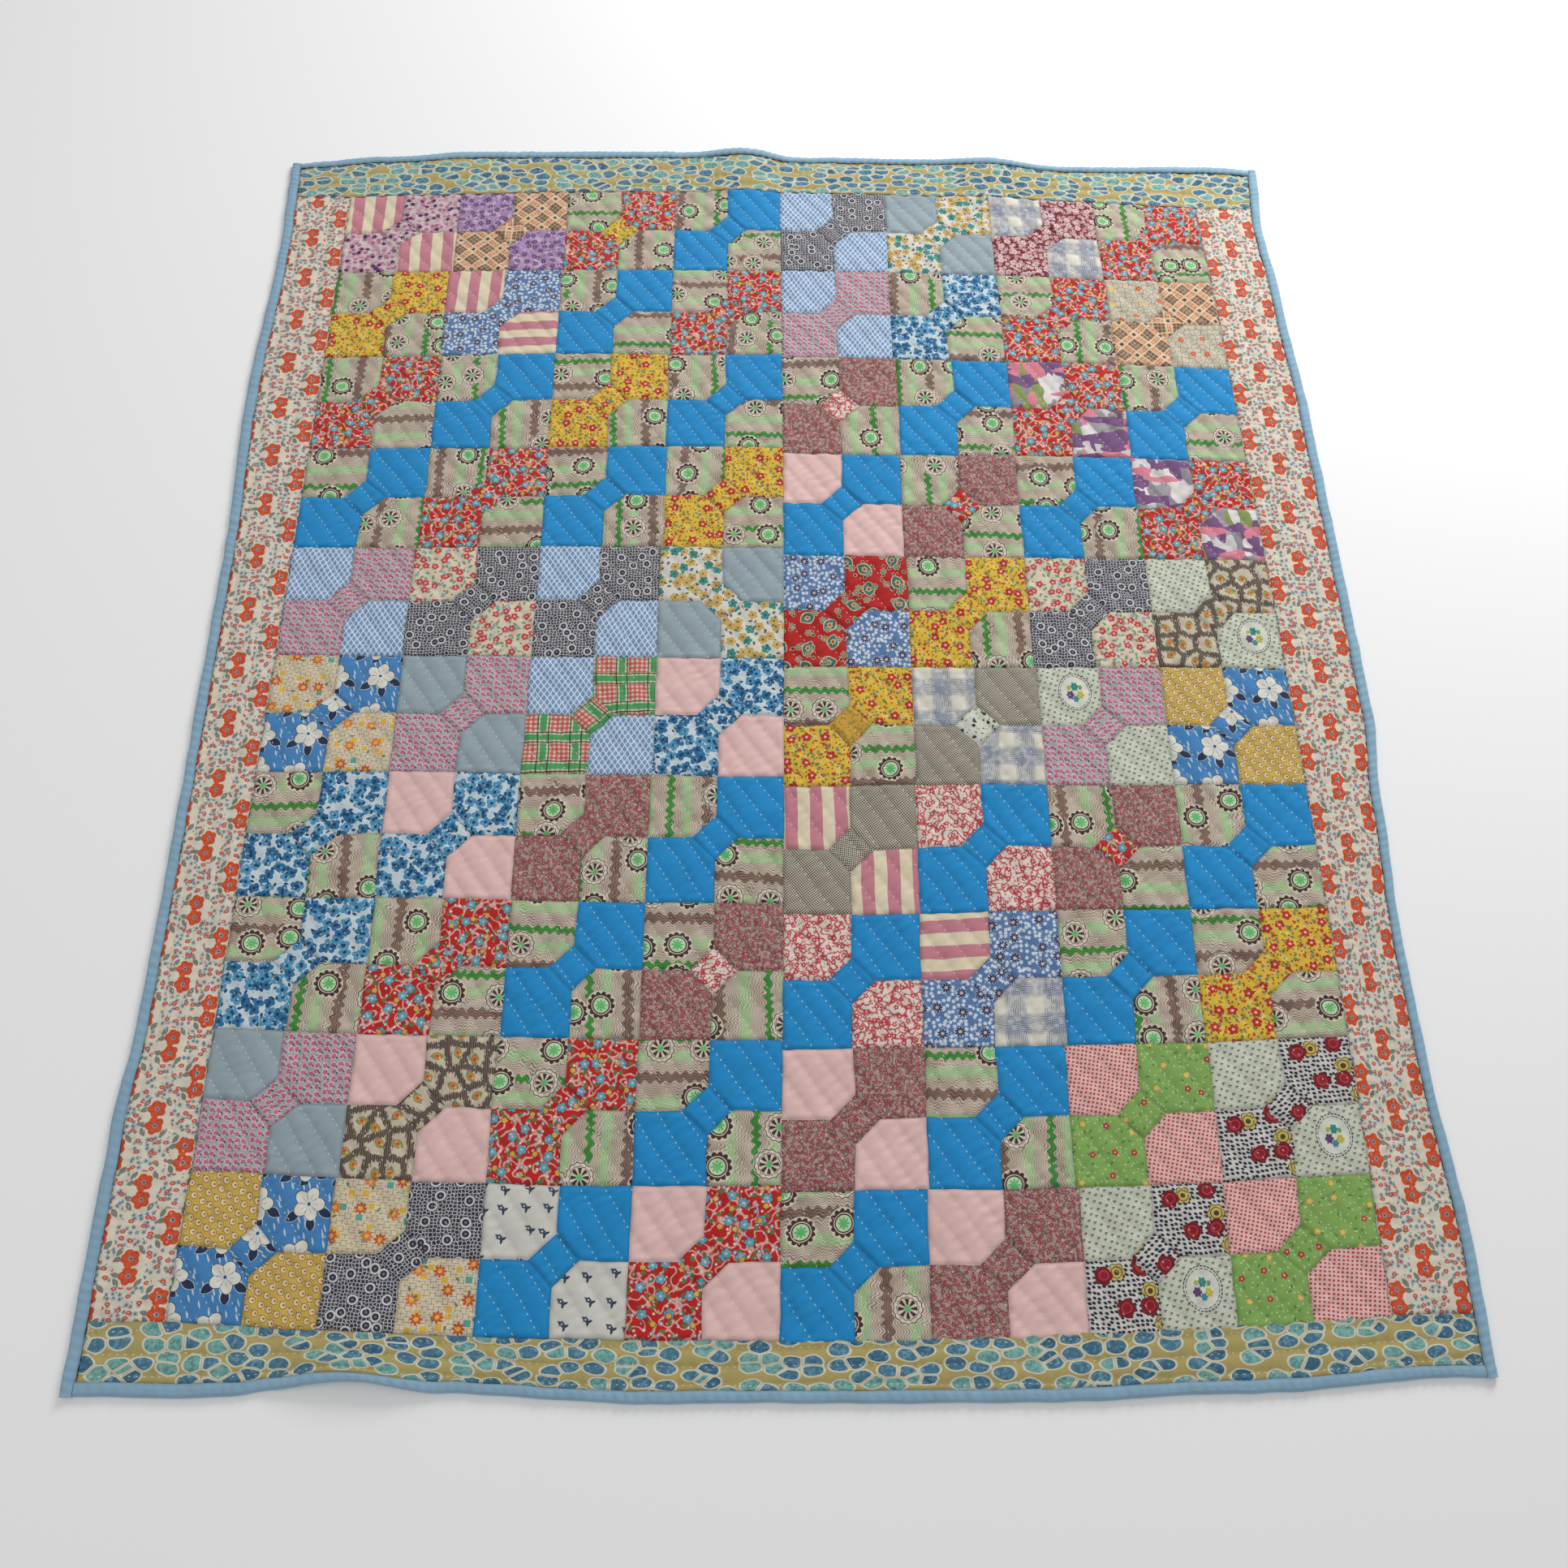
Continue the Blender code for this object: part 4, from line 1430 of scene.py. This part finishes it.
@dataclass
class PatchRow:
    """One sewn row of eight bow-tie blocks."""

    plan: Plan
    quilting: Quilting
    number: int
    chart: str
    wardrobe: Wardrobe
    wander: float = 0.0028
    centre_step: float = 0.015
    seam_depth: float = 0.0013
    seam_reach: float = 0.0024
    ridge: float = 0.0005
    ridge_place: float = 0.0062
    ridge_reach: float = 0.0030
    thickness: float = 0.0050

    def build(self, net: bpy.types.Mesh, block: Block) -> bpy.types.Object:
        """Sew the row.

        Args:
            net: the block's net.
            block: its measures.

        Returns:
            The row's object.
        """
        bm = bmesh.new()
        for _ in range(BLOCKS_ACROSS):
            bm.from_mesh(net)
        patches = [self._patches(entry.strip()) for entry in self.chart.split(";")]
        names = sorted({name for patch in patches for name, _ in patch})
        made = add_piece(f"patch_row_{self.number:02d}", bm, [self.wardrobe.get(name) for name in names])
        cloth = Cloth(made)
        column = np.repeat(np.arange(BLOCKS_ACROSS), len(cloth.net) // BLOCKS_ACROSS)
        p, q = cloth.net[:, 0], cloth.net[:, 1]
        across, along = self._sew(column, p, q)
        self._shape(cloth, across, along, block.seam_distance(p, q) * self.plan.block / 2)
        self._dress(cloth, column, patches, names, block)
        self._pack(cloth, column, p, q)
        flat = (self.plan.block * BLOCKS_ACROSS, self.plan.block)
        cloth.declare(flat, ["patchwork_field"], "pieced_cotton")
        return made

    def _seam(self, line: int, across: np.ndarray, right_half: np.ndarray) -> np.ndarray:
        """Where a seam between rows runs.

        Args:
            line: the seam's number, from 0 at the head.
            across: places along the seam.
            right_half: whether each place is right of the centre seam.

        Returns:
            Its place along the quilt.
        """
        nominal = self.plan.head - line * self.plan.block
        inner = 0 < line < BLOCKS_DOWN
        step = self.centre_step * max(0.0, 1 - ((line - 6) / 5) ** 2)
        sway = self.wander * ripple(across, across * 0 + 3.7 * line, 0.62, 8.0) if inner else 0.0
        return nominal + sway - step * right_half

    def _sew(self, column: np.ndarray, p: np.ndarray, q: np.ndarray) -> tuple[np.ndarray, np.ndarray]:
        """Work out the flat places of the row's points, with a hand sewer's small errors.

        Args:
            column: each point's block, from 0 at the left.
            p: its place across the block, from -1 to 1.
            q: its place along the block, from -1 to 1.

        Returns:
            Places across and along the quilt.
        """
        chance = np.random.default_rng(700 + self.number)
        columns = self.plan.left + self.plan.block * np.arange(BLOCKS_ACROSS + 1)
        errors = chance.uniform(-self.wander, self.wander, BLOCKS_ACROSS + 1)
        errors[[0, BLOCKS_ACROSS // 2, BLOCKS_ACROSS]] = 0.0
        columns = columns + errors
        off = chance.uniform(-self.wander, self.wander, (BLOCKS_ACROSS, 2))
        tent = (1 - np.abs(p)) * (1 - np.abs(q))
        across = columns[column] + (columns[column + 1] - columns[column]) * (p + 1) / 2
        across = across + tent * off[column, 0]
        right_half = column >= BLOCKS_ACROSS // 2
        head = self._seam(self.number - 1, across, right_half)
        foot = self._seam(self.number, across, right_half)
        return across, foot + (head - foot) * (q + 1) / 2 + tent * off[column, 1]

    def _shape(self, cloth: Cloth, across: np.ndarray, along: np.ndarray, off_seam: np.ndarray) -> None:
        """Lay the row, quilted and seamed.

        Args:
            cloth: the row.
            across: flat places across the quilt.
            along: flat places along it.
            off_seam: distance from the nearest seam.
        """
        x, y, lift = self.plan.lie(across, along)
        ditch = np.exp(-((off_seam / self.seam_reach) ** 2))
        ridge = np.exp(-(((off_seam - self.ridge_place) / self.ridge_reach) ** 2))
        relief = self.quilting.relief(across, along) - self.seam_depth * ditch + self.ridge * ridge
        cloth.place(x, y, lift + self.thickness + relief)
        # The seam mark follows the ditch; the cottons use it to paint shade along the seams.
        cloth.mark("seam", ditch)
        cloth.chart_quilting(self.quilting, across, along)

    def _patches(self, entry: str) -> list[tuple[str, float]]:
        """Read one block of the chart.

        Args:
            entry: "ground marks/tie.knot", with a mark of - or | for each of the two ground squares.

        Returns:
            Cotton and turn in degrees of the upper left, upper right, lower left and lower right squares
            and the knot.
        """
        grounds, ties = entry.split("/")
        grounds, _, marks = grounds.partition(" ")
        upper, _, lower = grounds.partition(",")
        tie, _, knot = ties.partition(".")
        turns = [90.0 if mark == "|" else 0.0 for mark in (marks or "--")]
        return [
            (upper, turns[0]),
            (tie, 0.0),
            (tie, 0.0),
            (lower or upper, turns[1]),
            (knot or tie, 45.0),
        ]

    def _dress(
        self,
        cloth: Cloth,
        column: np.ndarray,
        patches: list[list[tuple[str, float]]],
        names: list[str],
        block: Block,
    ) -> None:
        """Give each patch its cotton, cut from its own place in the cloth.

        Args:
            cloth: the row.
            column: each point's block.
            patches: each block's cottons and turns.
            names: the row's cottons in slot order.
            block: the block's measures.
        """
        mesh = cloth.made.data
        sizes = np.empty(len(mesh.polygons), dtype=np.int32)
        mesh.polygons.foreach_get("loop_total", sizes)
        starts = np.concatenate([[0], np.cumsum(sizes)[:-1]])
        middles = np.add.reduceat(cloth.net[cloth.corners], starts, axis=0) / sizes[:, None]
        in_knot = np.abs(middles[:, 0]) + np.abs(middles[:, 1]) < block.knot
        patch = np.where(in_knot, 4, (middles[:, 0] > 0) + 2 * (middles[:, 1] < 0))
        face_column = column[cloth.corners[starts]]
        key = face_column * 5 + patch
        slots = np.array([names.index(name) for entry in patches for name, _ in entry])
        mesh.polygons.foreach_set("material_index", slots[key].astype(np.int32))
        chance = np.random.default_rng(1900 + self.number)
        turns = np.radians([turn for entry in patches for _, turn in entry])
        turns = turns + chance.uniform(-0.05, 0.05, len(turns))
        starts_u = chance.uniform(-900, 900, len(turns))
        starts_v = chance.uniform(-900, 900, len(turns))
        quarter = self.plan.block / 4 / MM
        middle_u = np.tile([-quarter, quarter, -quarter, quarter, 0.0], BLOCKS_ACROSS)
        middle_v = np.tile([quarter, quarter, -quarter, -quarter, 0.0], BLOCKS_ACROSS)
        centred = np.array([name in CENTRED_PRINTS for entry in patches for name, _ in entry])
        starts_u = np.where(centred, -middle_u * np.cos(turns) - middle_v * np.sin(turns), starts_u)
        starts_v = np.where(centred, middle_u * np.sin(turns) - middle_v * np.cos(turns), starts_v)
        corner_key = np.repeat(key, sizes)
        local = cloth.net[cloth.corners] * self.plan.block / 2 / MM
        cos, sin = np.cos(turns[corner_key]), np.sin(turns[corner_key])
        u = local[:, 0] * cos + local[:, 1] * sin + starts_u[corner_key]
        v = local[:, 1] * cos - local[:, 0] * sin + starts_v[corner_key]
        cloth.chart("print", u, v)

    def _pack(self, cloth: Cloth, column: np.ndarray, p: np.ndarray, q: np.ndarray) -> None:
        """Lay the row's blocks out in three rows of three, so that a square map holds them finely."""
        cell = 1 / 3
        fill = 0.485 * cell
        u = (column % 3 + 0.5) * cell + p * fill
        v = (column // 3 + 0.5) * cell + q * fill
        cloth.chart("OFBake", u[cloth.corners], v[cloth.corners])


@dataclass
class Strip:
    """A straight length of cloth: a border strip, or the back."""

    plan: Plan
    name: str
    slot: str
    cotton: str
    low: tuple[float, float]
    high: tuple[float, float]
    columns: int
    rows: int
    quilting: Quilting
    nodes: list[str]
    thickness: float = 0.0050
    seam_depth: float = 0.0012
    seam_reach: float = 0.0026

    @property
    def is_back(self) -> bool:
        """Whether this is the underside, pressed flat on the floor."""
        return self.thickness < 0.001

    def build(self, wardrobe: Wardrobe) -> bpy.types.Object:
        """Cut the strip and lay it.

        Args:
            wardrobe: the cottons.

        Returns:
            The strip's object.
        """
        bm = grid(self.columns, self.rows)
        if self.is_back:
            bmesh.ops.reverse_faces(bm, faces=bm.faces)
        cloth = Cloth(add_piece(self.name, bm, [wardrobe.get(self.cotton)]))
        share = (cloth.net + 1) / 2
        across = self.low[0] + (self.high[0] - self.low[0]) * share[:, 0]
        along = self.low[1] + (self.high[1] - self.low[1]) * share[:, 1]
        x, y, lift = self.plan.lie(across, along)
        edge = np.minimum.reduce(
            [across - self.low[0], self.high[0] - across, along - self.low[1], self.high[1] - along]
        )
        ditch = np.exp(-((edge / self.seam_reach) ** 2))
        relief = self.quilting.relief(across, along) - self.seam_depth * ditch
        if self.is_back:
            relief = np.clip(relief, -0.002, 0.002) * 0.1
        cloth.place(x, y, lift + self.thickness + relief)
        # The seam mark follows the ditch; the cotton uses it to paint shade along the strip's seams.
        cloth.mark("seam", ditch)
        cloth.chart_quilting(self.quilting, across, along)
        self._chart_print(cloth, across, along)
        self._pack(cloth, share)
        cloth.declare((self.high[0] - self.low[0], self.high[1] - self.low[1]), self.nodes, self.slot)
        return cloth.made

    def _chart_print(self, cloth: Cloth, across: np.ndarray, along: np.ndarray) -> None:
        """Measure the print from the strip's inner lower corner."""
        left = abs(self.low[0]) > abs(self.high[0])
        start = self.high[0] if left else self.low[0]
        u = (start - across if left else across - start) / MM
        v = (along - self.low[1]) / MM
        cloth.chart("print", u[cloth.corners], v[cloth.corners])

    def _pack(self, cloth: Cloth, share: np.ndarray) -> None:
        """Choose the strip's lanes in its square map."""
        across, along = share[:, 0], share[:, 1]
        if self.columns > self.rows:
            across, along = along, across
        ratio = max(self.columns, self.rows) / min(self.columns, self.rows)
        cloth.pack_lanes(across, along, max(1, round(math.sqrt(ratio))), 0.02)


@dataclass
class Binding:
    """A folded strip of plain cotton that wraps one edge of the quilt."""

    plan: Plan
    name: str
    side: tuple[int, int]
    start: float
    end: float
    width: float = 0.017
    turn: float = 0.0032
    top: float = 0.0064
    segments: int = 12
    step: float = 0.0033
    crease: float = 0.0009
    crease_pitch: float = 0.0135
    flat_width: float = 0.040
    flat_share: float = 0.40
    bottom: float = 0.0002
    lanes: int = 7

    def build(self, wardrobe: Wardrobe) -> bpy.types.Object:
        """Fold the strip over its edge.

        Args:
            wardrobe: the cottons.

        Returns:
            The binding's object.
        """
        length = self.end - self.start
        bm = grid(round(length / self.step), self.segments)
        cloth = Cloth(add_piece(f"{self.name}_fold", bm, [wardrobe.get("binding")]))
        along = self.start + length * (cloth.net[:, 0] + 1) / 2
        round_share = (cloth.net[:, 1] + 1) / 2
        inset, height, topness = self._section(round_share)
        sideways = self.side[0] != 0
        half = self.plan.half_width if sideways else self.plan.half_length
        out = (half - inset) * (self.side[0] or self.side[1])
        across, run = (out, along) if sideways else (along, out)
        x, y, lift = self.plan.lie(across, run)
        phase = 2 * math.pi * along / self.crease_pitch + 2.6 * ripple(along, along * 0, 0.09, 9.0)
        gather = np.cos(phase + 160 * inset) * (0.6 + 0.4 * ripple(along, along * 0, 0.13, 4.0))
        wave = 0.0006 * ripple(x, y, 0.045, 6.0)
        cloth.place(x, y, np.maximum(lift + height + (self.crease * gather + wave) * topness, 0.0001))
        if (self.side[0] or -self.side[1]) < 0:
            cloth.made.data.flip_normals()
        cloth = Cloth(cloth.made)
        # The seam mark peaks at the binding's hem on its upper side; the cotton uses it to paint shade there.
        cloth.mark("seam", np.exp(-(((self.width - inset) / 0.0022) ** 2)) * topness)
        u, v = along / MM, round_share * 40
        cloth.chart("print", u[cloth.corners], v[cloth.corners])
        cloth.chart("quilting", u[cloth.corners], np.full(len(cloth.corners), 13.5))
        cloth.pack_lanes(round_share, (along - self.start) / length, self.lanes, 0.03)
        cloth.declare((self.flat_width, length), [self.name], "binding_cotton")
        return cloth.made

    def _section(self, share: np.ndarray) -> tuple[np.ndarray, np.ndarray, np.ndarray]:
        """Follow the folded strip's cross-section from its top hem round to its lower one.

        Args:
            share: place in the section, from 0 to 1.

        Returns:
            Distance in from the quilt's edge, height, and how much of the upper side's relief to show.
        """
        top = np.clip(share / self.flat_share, 0, 1)
        low = np.clip((share - 1 + self.flat_share) / self.flat_share, 0, 1)
        angle = np.clip((share - self.flat_share) / (1 - 2 * self.flat_share), 0, 1) * math.pi
        inset = self.width + (self.turn - self.width) * top + (self.width - self.turn) * low
        inset = inset - self.turn * np.sin(angle)
        half = (self.top - self.bottom) / 2
        crown = 0.0008 * np.sin(math.pi * top) * (low <= 0)
        hem = -0.0016 * np.exp(-((top / 0.12) ** 2))
        height = self.bottom + half * (1 + np.cos(angle)) + crown + hem
        return inset, height, np.clip((1 + np.cos(angle)) / 2, 0, 1)


@dataclass
class Studio:
    """A plain pale floor, soft light and the camera."""

    floor_size: float = 16.0
    floor_colour: str = "#FFFFFF"
    camera_place: tuple[float, float, float] = (-0.0586, -1.1690, 1.9420)
    turn: float = 3.33871
    down: float = 64.03898
    roll: float = 3.18406
    lens: float = 33.966

    def build(self) -> None:
        """Set the floor, lights, surroundings and camera."""
        self._lay_floor()
        self._light("key", (1.9, 2.9, 1.9), 1.5, 105.0)
        self._light("fill", (-2.2, -1.4, 3.4), 3.4, 22.0)
        world = bpy.data.worlds.new("studio_air")
        bpy.context.scene.world = world
        world.use_nodes = True
        background = world.node_tree.nodes["Background"]
        background.inputs["Color"].default_value = linear("#FFFFFF")
        background.inputs["Strength"].default_value = 0.42
        bpy.context.scene.view_settings.view_transform = "Standard"
        self._stand_camera()

    def _lay_floor(self) -> None:
        """Lay a matt floor just under the quilt."""
        bm = bmesh.new()
        bmesh.ops.create_grid(bm, x_segments=1, y_segments=1, size=self.floor_size / 2)
        paint = bpy.data.materials.new("matt_floor_paint")
        paint.use_nodes = True
        shader = paint.node_tree.nodes["Principled BSDF"]
        shader.inputs["Base Color"].default_value = linear(self.floor_colour)
        shader.inputs["Roughness"].default_value = 0.95
        floor = add_piece("floor", bm, [paint])

    def _light(self, name: str, place: tuple[float, float, float], size: float, power: float) -> None:
        """Hang a broad soft light that faces the quilt's middle."""
        data = bpy.data.lights.new(name, "AREA")
        data.shape = "SQUARE"
        data.size = size
        data.energy = power
        lamp = bpy.data.objects.new(name, data)
        lamp.location = place
        lamp.rotation_euler = (-Vector(place)).to_track_quat("-Z", "Y").to_euler()
        bpy.context.collection.objects.link(lamp)

    def _stand_camera(self) -> None:
        """Stand the camera above the quilt's foot, tilted down at its middle."""
        turn, down, roll = (math.radians(value) for value in (self.turn, self.down, self.roll))
        ahead = Vector((math.sin(turn) * math.cos(down), math.cos(turn) * math.cos(down), -math.sin(down)))
        right = ahead.cross(Vector((0, 0, 1))).normalized()
        up = right.cross(ahead)
        rolled_right = math.cos(roll) * right + math.sin(roll) * up
        rolled_up = math.cos(roll) * up - math.sin(roll) * right
        data = bpy.data.cameras.new("camera")
        data.lens = self.lens
        data.sensor_width = 36.0
        data.clip_start = 0.05
        camera = bpy.data.objects.new("camera", data)
        turned = Matrix((rolled_right, rolled_up, -ahead)).transposed().to_4x4()
        camera.matrix_world = Matrix.Translation(self.camera_place) @ turned
        bpy.context.collection.objects.link(camera)
        bpy.context.scene.camera = camera


def clear() -> None:
    """Empty the scene."""
    for item in list(bpy.data.objects):
        bpy.data.objects.remove(item)


def main() -> None:
    """Build the quilt, piece by piece, and its studio."""
    logging.basicConfig(level=logging.INFO, format="%(name)s: %(message)s")
    clear()
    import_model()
    Studio().build()
    plan = Plan()
    wardrobe = Wardrobe()
    block = Block()
    net = block.mesh()
    for number, chart in enumerate(CHART, 1):
        PatchRow(plan, Quilting(Run.DIAGONAL), number, chart, wardrobe).build(net, block)
    bpy.data.meshes.remove(net)
    upright = Quilting(Run.UPRIGHT, pitch=0.025)
    level = Quilting(Run.ACROSS, pitch=0.025)
    inner_x, inner_y = plan.half_width - plan.binding, plan.half_length - plan.binding
    strips = (
        ("border_left_print", "poppy", (-inner_x, plan.foot), (plan.left, plan.head), 33, 633, upright),
        ("border_right_print", "poppy", (plan.right, plan.foot), (inner_x, plan.head), 33, 633, upright),
        ("border_head_print", "stone", (-inner_x, plan.head), (inner_x, inner_y), 573, 30, level),
        ("border_foot_print", "stone", (-inner_x, -inner_y), (inner_x, plan.foot), 573, 24, level),
    )
    for name, cotton, low, high, columns, rows, quilting in strips:
        node = name.removesuffix("_print")
        slot = f"{cotton}_cotton"
        Strip(plan, name, slot, cotton, low, high, columns, rows, quilting, [node]).build(wardrobe)
    back_low = (-plan.half_width + plan.back_inset, -plan.half_length + plan.back_inset)
    back_high = (plan.half_width - plan.back_inset, plan.half_length - plan.back_inset)
    back = Strip(
        plan, "quilt_back", "pieced_cotton", "back", back_low, back_high, 147, 175, level, [], 0.0004
    )
    back.build(wardrobe)
    edges = (
        ("left", (-1, 0), plan.half_length),
        ("right", (1, 0), plan.half_length),
        ("head", (0, 1), inner_x),
        ("foot", (0, -1), inner_x),
    )
    for edge, side, reach in edges:
        Binding(plan, f"binding_{edge}", side, -reach, reach).build(wardrobe)


if __name__ == "__main__":
    main()
